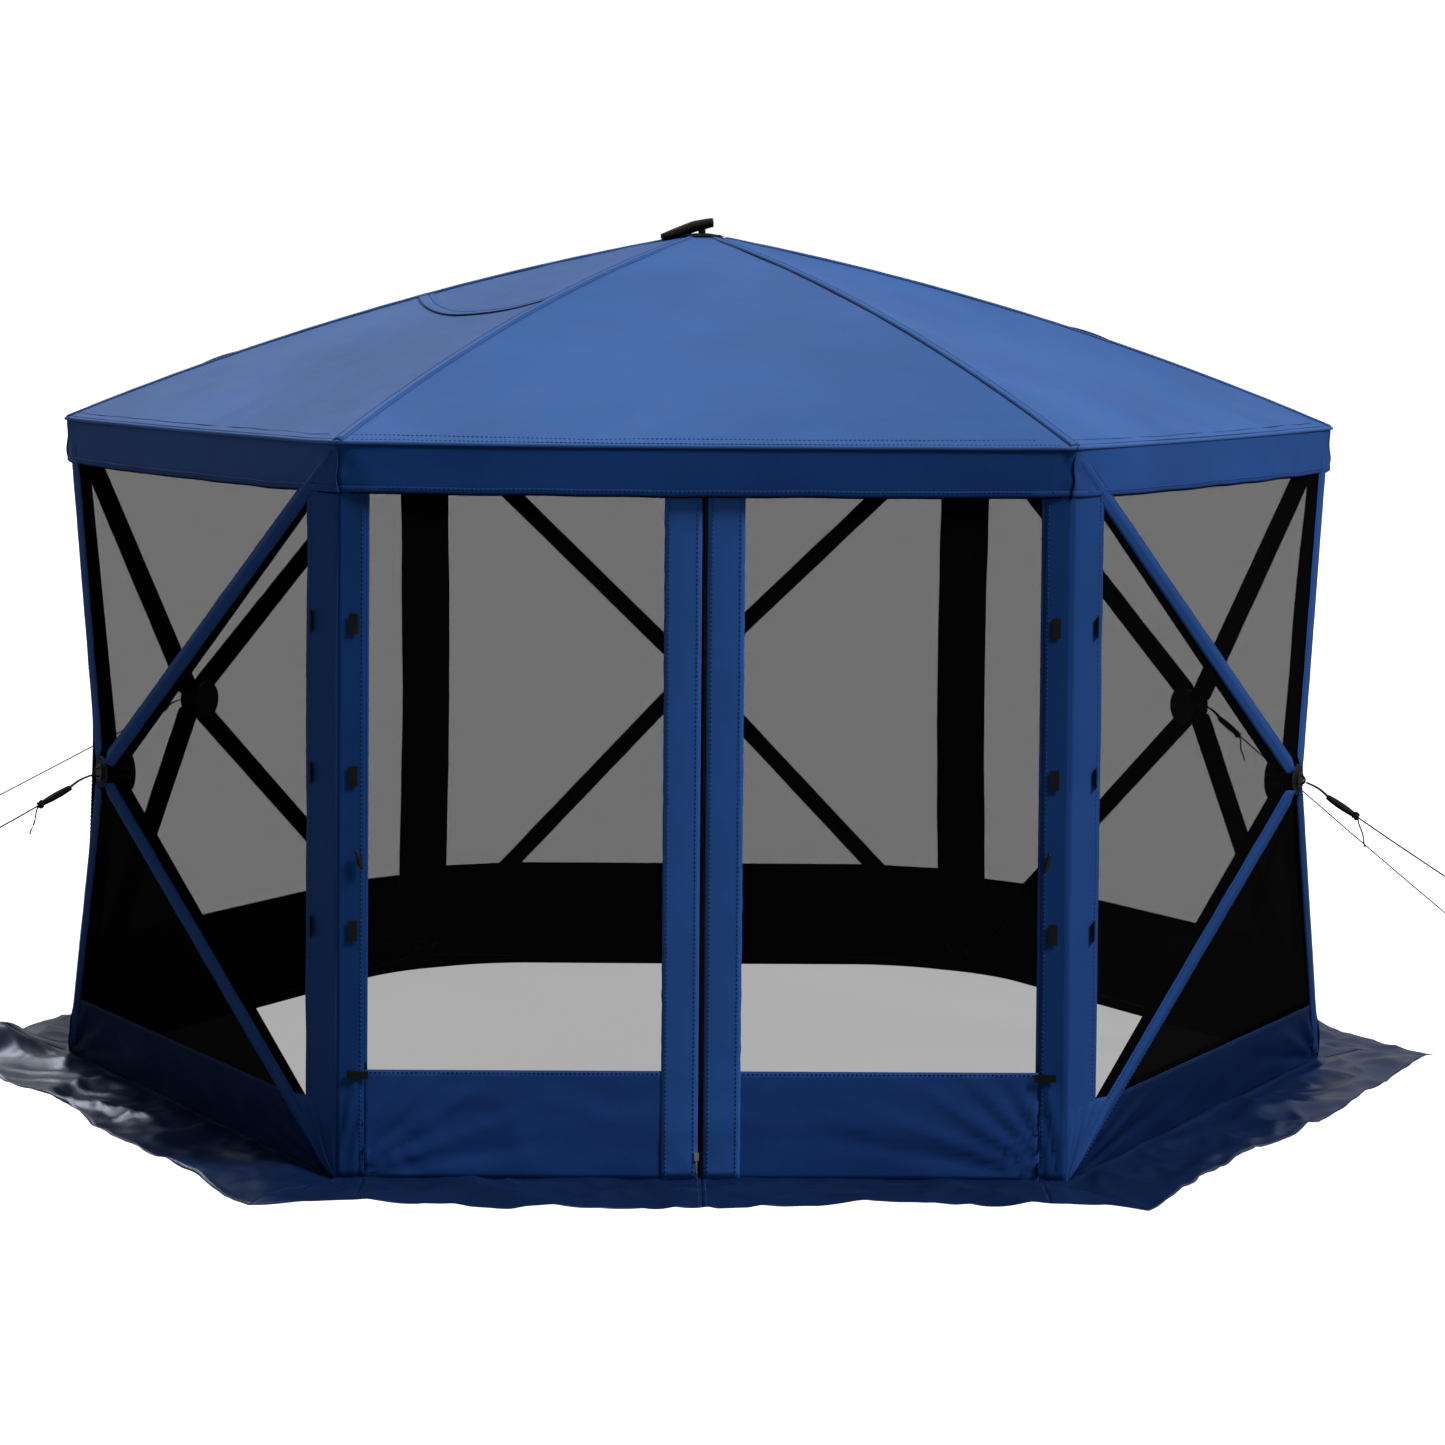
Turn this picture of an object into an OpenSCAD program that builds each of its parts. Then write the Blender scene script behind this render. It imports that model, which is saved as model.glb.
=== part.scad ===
// Six-sided screen house on folding hubs, open at the ground.
// Millimetres. +Z up, front door towards -Y, origin on the ground at the centre of the plan.
// Left and right of a wall are as seen from outside it.

/* [Outline] */
// Centre to corner, at the ground
base_radius = 1770; // [1600:10:1900]
// Centre to corner, at the eave
eave_radius = 1750; // [1600:10:1900]
// Height of the eave
eave_h = 1800; // [1700:10:1900]
// Height of the roof's peak
peak_h = 2320; // [2250:10:2400]
// Fullness of the roof's arch: 0 is a straight ridge
roof_arch = 0.4; // [0.35:0.05:0.5]
// Width of the loose skirt on the ground
skirt_w = 290; // [150:10:350]
// Depth of the valance below the eave
valance_h = 115; // [60:5:150]
// Thickness of every cloth solid
cloth_t = 3; // [2:0.5:4]

/* [Hubs and poles] */
// Height of the wall hubs
hub_h = 920; // [880:10:960]
// How far a wall's peak stands out from the wall
poke = 250; // [220:10:280]
// Diameter of the glass-fibre poles
pole_d = 11; // [8:0.5:12]
// Diameter of a wall hub's plates
hub_d = 110; // [104:2:116]
// Diameter of the roof hub's plates
roof_hub_d = 210; // [200:2:214]

/* [Door] */
// Width of the fixed band at each side of the doorway
door_band_w = 58; // [50:1:70]
// Height of the fixed strip above the door
door_head_h = 60; // [50:5:80]

/* [Hidden] */

hub_walls = [["back_right", 30], ["back", 90], ["back_left", 150], ["front_left", 210], ["front_right", 330]];
pole_ends = [["upper_left", -1, 1], ["upper_right", 1, 1], ["lower_left", -1, 0], ["lower_right", 1, 0]];
front_angle = 270;
corner_names = ["right", "back_right", "back_left", "left", "front_left", "front_right"];

// Guy ropes: the wall, then the route from the strap's end as [out from the hub's wall, height].
guy_ropes = [
    ["front_right", 330, [[420, 834], [460, 811], [510, 782], [560, 754], [610, 726], [660, 698], [712, 669]]],
    ["back_right", 30, [[410, 818], [500, 752], [620, 664], [740, 577], [860, 490], [980, 404], [1100, 318],
        [1220, 233], [1370, 127]]],
    ["front_left", 210, [[426, 844], [455, 830], [490, 813], [525, 797], [560, 780], [590, 766], [622, 751]]],
    ["back_left", 150, [[426, 844], [510, 803], [620, 750], [730, 697], [840, 644], [950, 591], [1040, 548],
        [1130, 506]]],
];
rope_d = 4;
rope_sides = 8;
strap_start = [279, 914];

// Ball joints at the corners.
ball_r = 9;
cup_r = 14;
ball_gap = 0.4;
pivot_in = 40;
pivot_depth = 20;
pivot_top = eave_h - 45;
pivot_bottom = 45;
roof_pivot_r = eave_radius - 50;
roof_pivot_h = eave_h - 2;
post_in = 25;
post_r = 15;
arm_r = 7;
arm_stop = 11.5;
foot_r = 18;
foot_h = 6;

// Hubs.
hub_depth = 44;
hub_gap = 36;
hub_plate = 4;
hub_tip = 40;
roof_hub_h = peak_h - 58;
roof_hub_gap = 40;
roof_tip_r = 92;
roof_tip_drop = 6;
roof_pole_rise = 55;
ferrule_r = 6.5;
ferrule_l = 34;
cap_r = 22;
cap_h = 8;
stem_r = 14;
wall_hole = 0.035;
seam_gap = 2;
skirt_notch = 62;
sill_w = 120;
sill_end = 60;
sill_door_end = 420;
roof_hole_r = 22;

// Cloth.
edge_in = 32;
ground_gap = 5;
top_gap = 8;
canopy_r = eave_radius + 15;
canopy_rings = 9;
valance_out = 6;
valance_flare = 36;
flange_w = 28;
tab_levels = [595, 970, 1338];
toggle_h = 795;
tab = [2, 20, 50];

// --- Places ---

function radius_at(z) = base_radius + (eave_radius - base_radius) * z / eave_h;
function apothem_at(z) = radius_at(z) * cos(30);
function half_at(z) = radius_at(z) / 2;

// A point of a wall in that wall's own frame: n out of the wall, u along it, z up.
function on_wall(n, u, z) = [apothem_at(z) + n, u, z];

// The hinge ball of a wall pole; side is -1 or 1, top is 1 or 0.
function wall_ball(side, top) = let (z = top ? pivot_top : pivot_bottom)
    on_wall(-pivot_depth, side * (half_at(z) - pivot_in), z);
hub_centre = on_wall(poke - hub_depth, 0, hub_h);

// Height of the canopy's ridge at a distance from the centre.
function roof_h(r) = let (t = 1 - r / canopy_r)
    eave_h + (peak_h - eave_h) * ((1 + roof_arch) * t - roof_arch * t * t);

roof_ball = [roof_pivot_r, 0, roof_pivot_h];
roof_tip = [roof_tip_r, 0, roof_hub_h - roof_tip_drop];

// --- General shapes ---

// Puts children at a, with their Z axis towards b.
module aim(a, b) {
    d = b - a;
    translate(a) rotate([0, acos(d[2] / norm(d)), atan2(d[1], d[0])]) children();
}

module rod(a, b, r, sides = 48) {
    aim(a, b) cylinder(r = r, h = norm(b - a), $fn = sides);
}

// A closed sheet: a grid of points, and the same grid moved by t. A loop joins each row's ends.
module sheet(grid, t, loop = false) {
    rows = len(grid);
    cols = len(grid[0]);
    lower = rows * cols;
    points = concat([for (row = grid, p = row) p], [for (row = grid, p = row) p + t]);
    turn = cross(grid[0][1] - grid[0][0], grid[1][1] - grid[0][0]) * t < 0;
    last = loop ? cols - 1 : cols - 2;
    skin = [for (i = [0 : rows - 2], j = [0 : last])
        let (a = i * cols + j, b = i * cols + (j + 1) % cols, c = b + cols, d = a + cols)
        each [[a, b, c], [a, c, d], [a + lower, c + lower, b + lower], [a + lower, d + lower, c + lower]]];
    ends = [for (i = [0, rows - 1], j = [0 : last])
        let (a = i * cols + j, b = i * cols + (j + 1) % cols, p = i == 0 ? b : a, q = i == 0 ? a : b)
        each [[p, q, q + lower], [p, q + lower, p + lower]]];
    sides = loop ? [] : [for (i = [0 : rows - 2], j = [0, cols - 1])
        let (a = i * cols + j, b = a + cols, p = j == 0 ? a : b, q = j == 0 ? b : a)
        each [[p, q, q + lower], [p, q + lower, p + lower]]];
    faces = concat(skin, ends, sides);
    polyhedron(points, turn ? [for (f = faces) [f[2], f[1], f[0]]] : faces);
}

// A tube through points that lie in the plane Y = 0.
module tube(path, r, sides) {
    n = len(path);
    rings = [for (i = [0 : n - 1])
        let (d = path[min(i + 1, n - 1)] - path[max(i - 1, 0)], e = cross(d / norm(d), [0, 1, 0]))
        for (k = [0 : sides - 1]) path[i] + r * (cos(360 * k / sides) * [0, 1, 0] + sin(360 * k / sides) * e)];
    wall = [for (i = [0 : n - 2], k = [0 : sides - 1])
        let (a = i * sides + k, b = i * sides + (k + 1) % sides)
        each [[a, b, b + sides], [a, b + sides, a + sides]]];
    caps = [[for (k = [sides - 1 : -1 : 0]) k], [for (k = [0 : sides - 1]) (n - 1) * sides + k]];
    polyhedron(rings, concat(wall, caps));
}

module on_side(angle) {
    rotate([0, 0, angle]) children();
}

// --- Poles ---

module wall_pole(side, top) {
    ball = wall_ball(side, top);
    along = (hub_centre - ball) / norm(hub_centre - ball);
    tip = hub_centre - along * hub_tip;
    color("#17181a") union() {
        translate(ball) sphere(r = ball_r, $fn = 48);
        rod(ball, tip, pole_d / 2);
        rod(tip - along * ferrule_l, tip, ferrule_r);
    }
}

// The roof pole is an arc from its ball to its tip, standing roof_pole_rise above the chord.
module roof_pole() {
    chord = roof_tip - roof_ball;
    half_chord = norm(chord) / 2;
    arc_r = (half_chord * half_chord + roof_pole_rise * roof_pole_rise) / (2 * roof_pole_rise);
    down = [chord[2], 0, -chord[0]] / norm(chord) * -1;
    centre = (roof_ball + roof_tip) / 2 + down * (arc_r - roof_pole_rise);
    start = atan2(roof_ball[2] - centre[2], roof_ball[0] - centre[0]);
    end = atan2(roof_tip[2] - centre[2], roof_tip[0] - centre[0]);
    color("#17181a") union() {
        translate(roof_ball) sphere(r = ball_r, $fn = 48);
        translate(centre) rotate([90, 0, 0]) rotate([0, 0, start])
            rotate_extrude(angle = end - start, $fn = 720) translate([arc_r, 0]) circle(r = pole_d / 2, $fn = 48);
    }
}

// --- Hubs ---

module hub_core(d, gap, post_ring, posts, first) {
    for (z = [-gap / 2 - hub_plate, gap / 2]) translate([0, 0, z]) cylinder(d = d, h = hub_plate, $fn = 96);
    for (k = [0 : posts - 1]) rotate([0, 0, first + 360 * k / posts]) translate([post_ring, 0, -gap / 2 - 1])
        cylinder(r = 6, h = gap + 2, $fn = 32);
}

module wall_hub() {
    outer = hub_gap / 2 + hub_plate;
    color("#101113") translate(hub_centre) rotate([0, 90, 0]) union() {
        hub_core(hub_d, hub_gap, 42, 4, 0);
        translate([0, 0, outer - 1]) cylinder(r = stem_r, h = hub_depth + 8 - outer, $fn = 48);
        translate([0, 0, hub_depth + 6]) cylinder(r = cap_r, h = cap_h, $fn = 64);
        translate([0, 0, hub_depth + 6 + cap_h]) rotate([90, 0, 0])
            rotate_extrude($fn = 64) translate([11, 0]) circle(r = 2.5, $fn = 32);
    }
}

module roof_hub() {
    outer = roof_hub_gap / 2 + hub_plate;
    color("#101113") translate([0, 0, roof_hub_h]) union() {
        hub_core(roof_hub_d, roof_hub_gap, 88, 6, 30);
        translate([0, 0, outer - 1]) cylinder(r = 10, h = peak_h + 12 - roof_hub_h - outer, $fn = 48);
    }
}

// Padded pull strap, an arch over the peak.
module roof_strap() {
    inner = 103;
    pad = 8;
    span = 130;
    width = 45;
    color("#15161a") translate([0, 0, peak_h + 15 - inner]) intersection() {
        rotate([90, 0, 0]) difference() {
            cylinder(r = inner + pad, h = width, center = true, $fn = 96);
            cylinder(r = inner, h = width + 2, center = true, $fn = 96);
        }
        translate([-span / 2, -width, 60]) cube([span, 2 * width, 60]);
    }
}

// --- Corners ---

// Half a socket behind a ball at p, whose pole leaves towards q.
module cup(p, q) {
    aim(p, q) difference() {
        sphere(r = cup_r, $fn = 48);
        sphere(r = ball_r + ball_gap, $fn = 48);
        translate([-2 * cup_r, -2 * cup_r, 1]) cube(4 * cup_r);
    }
}

module socket(p, q, foot) {
    cup(p, q);
    d = p - foot;
    rod(foot, foot + d / norm(d) * (norm(d) - arm_stop), arm_r);
}

// Sockets of the walls at a corner, in the corner's frame. The front wall has no poles.
module wall_sockets(corner, top, post) {
    for (side = [-1, 1]) {
        wall_angle = 60 * corner - 30 * side;
        if ((wall_angle + 360) % 360 != front_angle) {
            spin = -30 * side;
            p = wall_ball(side, top);
            turn = [[cos(spin), -sin(spin), 0], [sin(spin), cos(spin), 0], [0, 0, 1]];
            socket(turn * p, turn * hub_centre, [post, 0, p[2]]);
        }
    }
}

module top_corner_joints() {
    post = eave_radius - post_in;
    low = pivot_top - 18;
    high = roof_pivot_h - 13;
    color("#1a1b1e") for (k = [0 : 5]) on_side(60 * k) union() {
        translate([post, 0, low]) cylinder(r = post_r, h = high - low, $fn = 48);
        wall_sockets(k, 1, post);
        socket(roof_ball, roof_tip, [post, 0, high - 8]);
    }
}

module corner_feet() {
    post = base_radius - post_in;
    color("#1a1b1e") for (k = [0 : 5]) on_side(60 * k) union() {
        translate([post, 0, 0]) cylinder(r = foot_r, h = foot_h, $fn = 48);
        translate([post, 0, 0]) cylinder(r = post_r, h = pivot_bottom + 20, $fn = 48);
        wall_sockets(k, 0, post);
    }
}

// --- Cloth ---

// The canopy's six gores meet along the ridges, a seam's width apart.
module canopy() {
    y = seam_gap / 2;
    color("#4a6ba8") for (k = [0 : 5]) on_side(60 * k) sheet([for (i = [0 : canopy_rings])
        let (r = canopy_r + (roof_hole_r - canopy_r) * i / canopy_rings, x = r - y / tan(60), h = roof_h(r))
            [[x, y, h], [x / 2 + y * sin(60), x * sin(60) - y / 2, h]]], [0, 0, -cloth_t]);
}

// Each wall's valance is a strip; it flares where a hub pushes the wall out.
module valance() {
    high = eave_h - 6;
    low = high - valance_h;
    color("#16305f") for (k = [0 : 5]) {
        angle = 30 + 60 * k;
        flare = angle == front_angle ? 0 : valance_flare;
        half = half_at(eave_h) - 3;
        on_side(angle) sheet([
            [on_wall(valance_out, -half, high), on_wall(valance_out, half, high)],
            [on_wall(valance_out + flare, -half, low), on_wall(valance_out + flare, half, low)]],
            [cloth_t, 0, 0]);
    }
}

// A wall is a four-sided pyramid of cloth: four triangles that meet along the poles' sleeves, a seam's
// width apart, with their points cut off at the hub.
module wall_panel() {
    low = ground_gap;
    high = eave_h - top_gap;
    peak = on_wall(poke, 0, hub_h);
    rim = [for (c = [[-1, low], [1, low], [1, high], [-1, high]])
        on_wall(0, c[0] * (half_at(c[1]) - edge_in), c[1])];
    color("#2c2f33") for (k = [0 : 3]) {
        a = rim[k];
        b = rim[(k + 1) % 4];
        inset = seam_gap * (b - a) / norm(b - a);
        sheet([[a + inset, b - inset], [for (p = [a + inset, b - inset]) peak + (p - peak) * wall_hole]],
            [-cloth_t, 0, 0]);
    }
}

// A door flap with its half of the front skirt, cut back at the middle so that the leaves pass.
// side is -1 for left, 1 for right.
module door(side) {
    low = ground_gap + 5;
    high = eave_h - door_head_h;
    hinge = door_band_w + 4;
    color("#3a3d42") on_side(front_angle) sheet([
        [on_wall(0, side * 2, low), on_wall(0, side * (half_at(low) - hinge), low)],
        [on_wall(0, side * 2, high), on_wall(0, side * (half_at(high) - hinge), high)]],
        [-cloth_t, 0, 0]);
    lift = side < 0 ? 1 : 4;
    reach = half_at(0) - hinge - 2;
    color("#0f1f44") on_side(front_angle) translate([apothem_at(0), 0, lift]) linear_extrude(2)
        polygon([[4, side * 2], [4, side * reach], [skirt_w, side * reach], [skirt_w, side * skirt_notch]]);
}

// Zip slider and its pull, on the left flap's edge.
module zip_slider() {
    color("#9a9ca0") on_side(front_angle) translate([apothem_at(60) + 1, -17, 60]) union() {
        cube([6, 11, 20]);
        translate([2, 3.5, -32]) cube([2, 4, 34]);
    }
}

module flange(w, side) {
    low = ground_gap;
    high = eave_h - top_gap;
    sheet([
        [on_wall(0, side * (half_at(low) - w), low), on_wall(0, side * (half_at(low) - 2), low)],
        [on_wall(0, side * (half_at(high) - w), high), on_wall(0, side * (half_at(high) - 2), high)]],
        [-cloth_t, 0, 0]);
}

// Reinforced cloth at each corner, and the strip above the door.
module corner_bands() {
    color("#0d2350") for (k = [0 : 5]) {
        angle = 30 + 60 * k;
        on_side(angle) for (side = [-1, 1]) flange(angle == front_angle ? door_band_w : flange_w, side);
    }
    low = eave_h - door_head_h + 3;
    high = eave_h - top_gap;
    half_low = half_at(low) - door_band_w - 2;
    half_high = half_at(high) - door_band_w - 2;
    color("#0d2350") on_side(front_angle) sheet([
        [on_wall(0, -half_low, low), on_wall(0, half_low, low)],
        [on_wall(0, -half_high, high), on_wall(0, half_high, high)]],
        [-cloth_t, 0, 0]);
}

// Hook-and-loop tabs on the front corners, and the toggles that hold the rolled flaps.
module fastening_tabs() {
    color("#0b0b0d") for (side = [-1, 1], z = tab_levels) {
        on_side(front_angle) translate([apothem_at(z) + 1, side * (half_at(z) - 36) - tab[1] / 2, z])
            cube(tab);
        on_side(front_angle + 60 * side) translate([apothem_at(z) + 22, -side * (half_at(z) - 85), z])
            rotate([0, 0, side * 16]) translate([0, -tab[1] / 2, 0]) cube(tab);
    }
    color("#0b0b0d") on_side(front_angle) for (side = [-1, 1])
        translate([apothem_at(toggle_h) + 8, side * (half_at(toggle_h) - 52), toggle_h - 20])
        cylinder(r = 5, h = 40, $fn = 32);
}

// Skirt strips of the five hub walls, outside and inside, and the two short strips beside the door.
module ground_skirt() {
    mitre = skirt_w * tan(30);
    half = half_at(0) - 1;
    color("#0c1a3a") for (w = hub_walls) on_side(w[1]) sheet([
        [on_wall(3, -half, 0), on_wall(3, half, 0)],
        [on_wall(skirt_w, -half - mitre, 0), on_wall(skirt_w, half + mitre, 0)]],
        [0, 0, cloth_t]);
    inner_mitre = sill_w * tan(30);
    color("#0b0b0d") for (w = hub_walls) {
        low = w[0] == "front_right" ? sill_door_end : sill_end;
        high = w[0] == "front_left" ? sill_door_end : sill_end;
        on_side(w[1]) sheet([
            [on_wall(-8, low - half, 0), on_wall(-8, half - high, 0)],
            [on_wall(-sill_w, low + inner_mitre - half, 0), on_wall(-sill_w, half - high - inner_mitre, 0)]],
            [0, 0, cloth_t]);
    }
    start = half_at(0) - door_band_w;
    color("#0c1a3a") on_side(front_angle) for (side = [-1, 1]) sheet([
        [on_wall(3, side * start, 0), on_wall(3, side * half, 0)],
        [on_wall(skirt_w, side * start, 0), on_wall(skirt_w, side * (half + mitre), 0)]],
        [0, 0, cloth_t]);
}

// --- Guy ropes ---

function guy_point(p) = [apothem_at(hub_h) + p[0], 0, p[1]];

// Webbing strap with its tensioner, from the hub's ring to the rope.
module guy_strap(route) {
    a = guy_point(strap_start);
    b = guy_point(route[0]);
    along = (b - a) / norm(b - a);
    color("#0b0b0d") union() {
        rod(a, b, 3, 32);
        rod(b - along * 95, b - along * 12, 10, 32);
        translate(b - along * 8) sphere(r = 7, $fn = 32);
    }
}

module guy_rope(route) {
    color("#17191d") tube([for (p = route) guy_point(p)], rope_d / 2, rope_sides);
}

// --- Nodes ---

roof_hub();
roof_strap();
for (k = [0 : 5]) on_side(60 * k) roof_pole();
for (w = hub_walls) on_side(w[1]) wall_hub();
for (w = hub_walls, e = pole_ends)
    on_side(w[1]) wall_pole(e[1], e[2]);
top_corner_joints();
corner_feet();
canopy();
valance();
for (w = hub_walls) on_side(w[1]) wall_panel();
door(-1);  // door_left
door(1);  // door_right
zip_slider();
corner_bands();
fastening_tabs();
ground_skirt();
for (g = guy_ropes) on_side(g[1]) guy_strap(g[2]);
for (g = guy_ropes) on_side(g[1]) guy_rope(g[2]);
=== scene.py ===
from math import atan2, cos, exp, pi, radians, sin, sqrt, tan

import bmesh
import bpy
from mathutils import Matrix, Vector, noise


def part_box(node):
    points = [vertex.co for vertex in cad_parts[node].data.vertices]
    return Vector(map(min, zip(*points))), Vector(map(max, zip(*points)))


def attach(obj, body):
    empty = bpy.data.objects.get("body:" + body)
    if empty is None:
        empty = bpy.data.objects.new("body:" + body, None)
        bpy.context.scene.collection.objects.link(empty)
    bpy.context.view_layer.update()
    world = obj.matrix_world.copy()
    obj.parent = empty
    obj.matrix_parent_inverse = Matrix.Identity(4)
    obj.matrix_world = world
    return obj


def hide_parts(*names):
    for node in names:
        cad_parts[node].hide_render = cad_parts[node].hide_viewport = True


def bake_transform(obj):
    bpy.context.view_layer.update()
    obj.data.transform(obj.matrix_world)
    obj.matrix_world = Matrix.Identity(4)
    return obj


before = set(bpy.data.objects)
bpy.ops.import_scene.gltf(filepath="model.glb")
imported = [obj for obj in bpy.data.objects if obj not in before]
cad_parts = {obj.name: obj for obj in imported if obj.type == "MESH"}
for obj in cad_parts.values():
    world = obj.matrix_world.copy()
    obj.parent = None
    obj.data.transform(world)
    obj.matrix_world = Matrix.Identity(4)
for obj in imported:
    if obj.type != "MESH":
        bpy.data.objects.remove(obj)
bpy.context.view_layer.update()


def add_object(name, data):
    obj = bpy.data.objects.new(name, data)
    bpy.context.scene.collection.objects.link(obj)
    return obj


# -------- frame dimensions, in metres
BASE_R = 1.770           # centre to corner at the ground
EAVE_R = 1.750           # centre to corner at the eave
CANOPY_LOW, CANOPY_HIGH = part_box("canopy")
CANOPY_R = CANOPY_HIGH[0]
EAVE_H = CANOPY_LOW[2] + 0.003
HUB_LOW, HUB_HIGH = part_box("wall_hub_back")
HUB_H = (HUB_LOW[2] + HUB_HIGH[2]) / 2
PEAK_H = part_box("roof_hub")[1][2] - 0.011
ROOF_ARCH = 0.4          # fullness of the ridges
SKIRT_W = 0.290
KICK_H = 0.280           # height of the door's solid cloth above the ground
HUB_KICK_H = {"front_left": 0.200, "front_right": 0.200,
              "back_left": 0.290, "back_right": 0.290, "back": 0.310}
SILL_W = 0.120           # the inner ground strip
VALANCE_H = 0.118
DOOR_HINGE = 0.062       # corner line to a door leaf's hinge
POLE_R = 0.0055
HUB_DEPTH = 0.044        # wall hub's centre behind the cloth's peak
PIVOT_IN, PIVOT_DEPTH = 0.040, 0.020
PIVOT_TOP, PIVOT_LOW = EAVE_H - 0.045, 0.045
BALL_R, FERRULE_R = 0.0085, 0.0065
HUB_TIP = 0.040          # from a wall hub's centre to a pole's tip
HUB_TO_PEAK = 0.0165     # from the cloth's peak out to the end of the hub's ring
ROOF_TIP_R = 0.092       # from the roof hub's axis to a roof pole's tip
ROOF_POLE_RISE = 0.055
ROOF_HOLE_R = 0.022
VENT_GORE = 3            # the front-left roof panel
CLOTH_EDGE = 0.006       # seam allowance at the eave and the ground
NET_HOLLOW = 0.016
BAND_W = 0.112           # reinforced cloth beside a corner, on a hub wall
BACK_BAND_W = 0.084      # the same at the two back corners
DOOR_BAND_W = 0.0655     # the same on the front wall, lapping the door leaf
SLEEVE_W = 0.054
SLEEVE_START, SLEEVE_END = 0.022, 0.972    # shares of the way from a corner to the hub
CORNER_LIFT = 0.0035     # how far the corner cloth stands off the frame line
DOOR_BAND = 0.090        # the bands beside the zip
DOOR_HEAD_H = 0.060
DOOR_FOOT = 0.012        # height of the leaves' bands and zip tapes above the ground
ZIP_GAP = {-1: 0.009, 1: 0.004}            # centre line to each leaf's band
ZIP_PITCH = 0.0046
TAB_LEVELS = (0.595, 0.970, 1.338)
TOGGLE_H = 0.795
WALL_CLOTH_W = 1.77      # flat length of what runs along a whole wall
LEAF_CLOTH_H = 1.73      # flat height of a door leaf's cloth

HUB_WALLS = {"back_right": 30, "back": 90, "back_left": 150, "front_left": 210, "front_right": 330}
CORNERS = ["right", "back_right", "back_left", "left", "front_left", "front_right"]
# How far each corner's cloth bows in at mid height, where nothing props it.
BOW = {"right": 0.065, "left": 0.065, "back_right": 0.03, "back_left": 0.03,
       "front_left": 0.0, "front_right": 0.0}
FRONT = 270
SIDES = {-1: "left", 1: "right"}

# Guy rope routes: [out from the hub's wall, height], as in the frame.
GUY_ROUTES = {
    "front_right": [(0.420, 0.834), (0.460, 0.811), (0.510, 0.782), (0.560, 0.754), (0.610, 0.726),
                    (0.660, 0.698), (0.712, 0.669)],
    "back_right": [(0.410, 0.818), (0.500, 0.752), (0.620, 0.664), (0.740, 0.577), (0.860, 0.490),
                   (0.980, 0.404), (1.100, 0.318), (1.220, 0.233), (1.370, 0.127)],
    "front_left": [(0.426, 0.844), (0.455, 0.830), (0.490, 0.813), (0.525, 0.797), (0.560, 0.780),
                   (0.590, 0.766), (0.622, 0.751)],
    "back_left": [(0.426, 0.844), (0.510, 0.803), (0.620, 0.750), (0.730, 0.697), (0.840, 0.644),
                  (0.950, 0.591), (1.040, 0.548), (1.130, 0.506)],
}
STRAP_START = (0.279, 0.914)
ROPE_D = 0.004


# -------- camera
CAMERA_PLACE = (-0.107, -10.47, 2.152)
CAMERA_TURN = (6.51, 0.96, 0.49)           # pitch down, yaw to the right and roll, in degrees
CAMERA_LENS = 93.4                         # mm, on a 36 mm sensor


def make_camera():
    """The photograph's view: a long lens a little above eye level, looking slightly down."""
    pitch, yaw, roll = (radians(a) for a in CAMERA_TURN)
    forward = Vector((sin(yaw) * cos(pitch), cos(yaw) * cos(pitch), -sin(pitch)))
    right = Vector((cos(yaw), -sin(yaw), 0))
    up = right.cross(forward)
    turned_right = cos(roll) * right + sin(roll) * up
    turned_up = cos(roll) * up - sin(roll) * right
    data = bpy.data.cameras.new("camera")
    data.lens, data.sensor_width, data.clip_end = CAMERA_LENS, 36.0, 400.0
    camera = add_object("camera", data)
    rotation = Matrix((turned_right, turned_up, -forward)).transposed().to_4x4()
    camera.matrix_world = Matrix.Translation(CAMERA_PLACE) @ rotation
    bpy.context.scene.camera = camera


make_camera()


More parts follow.
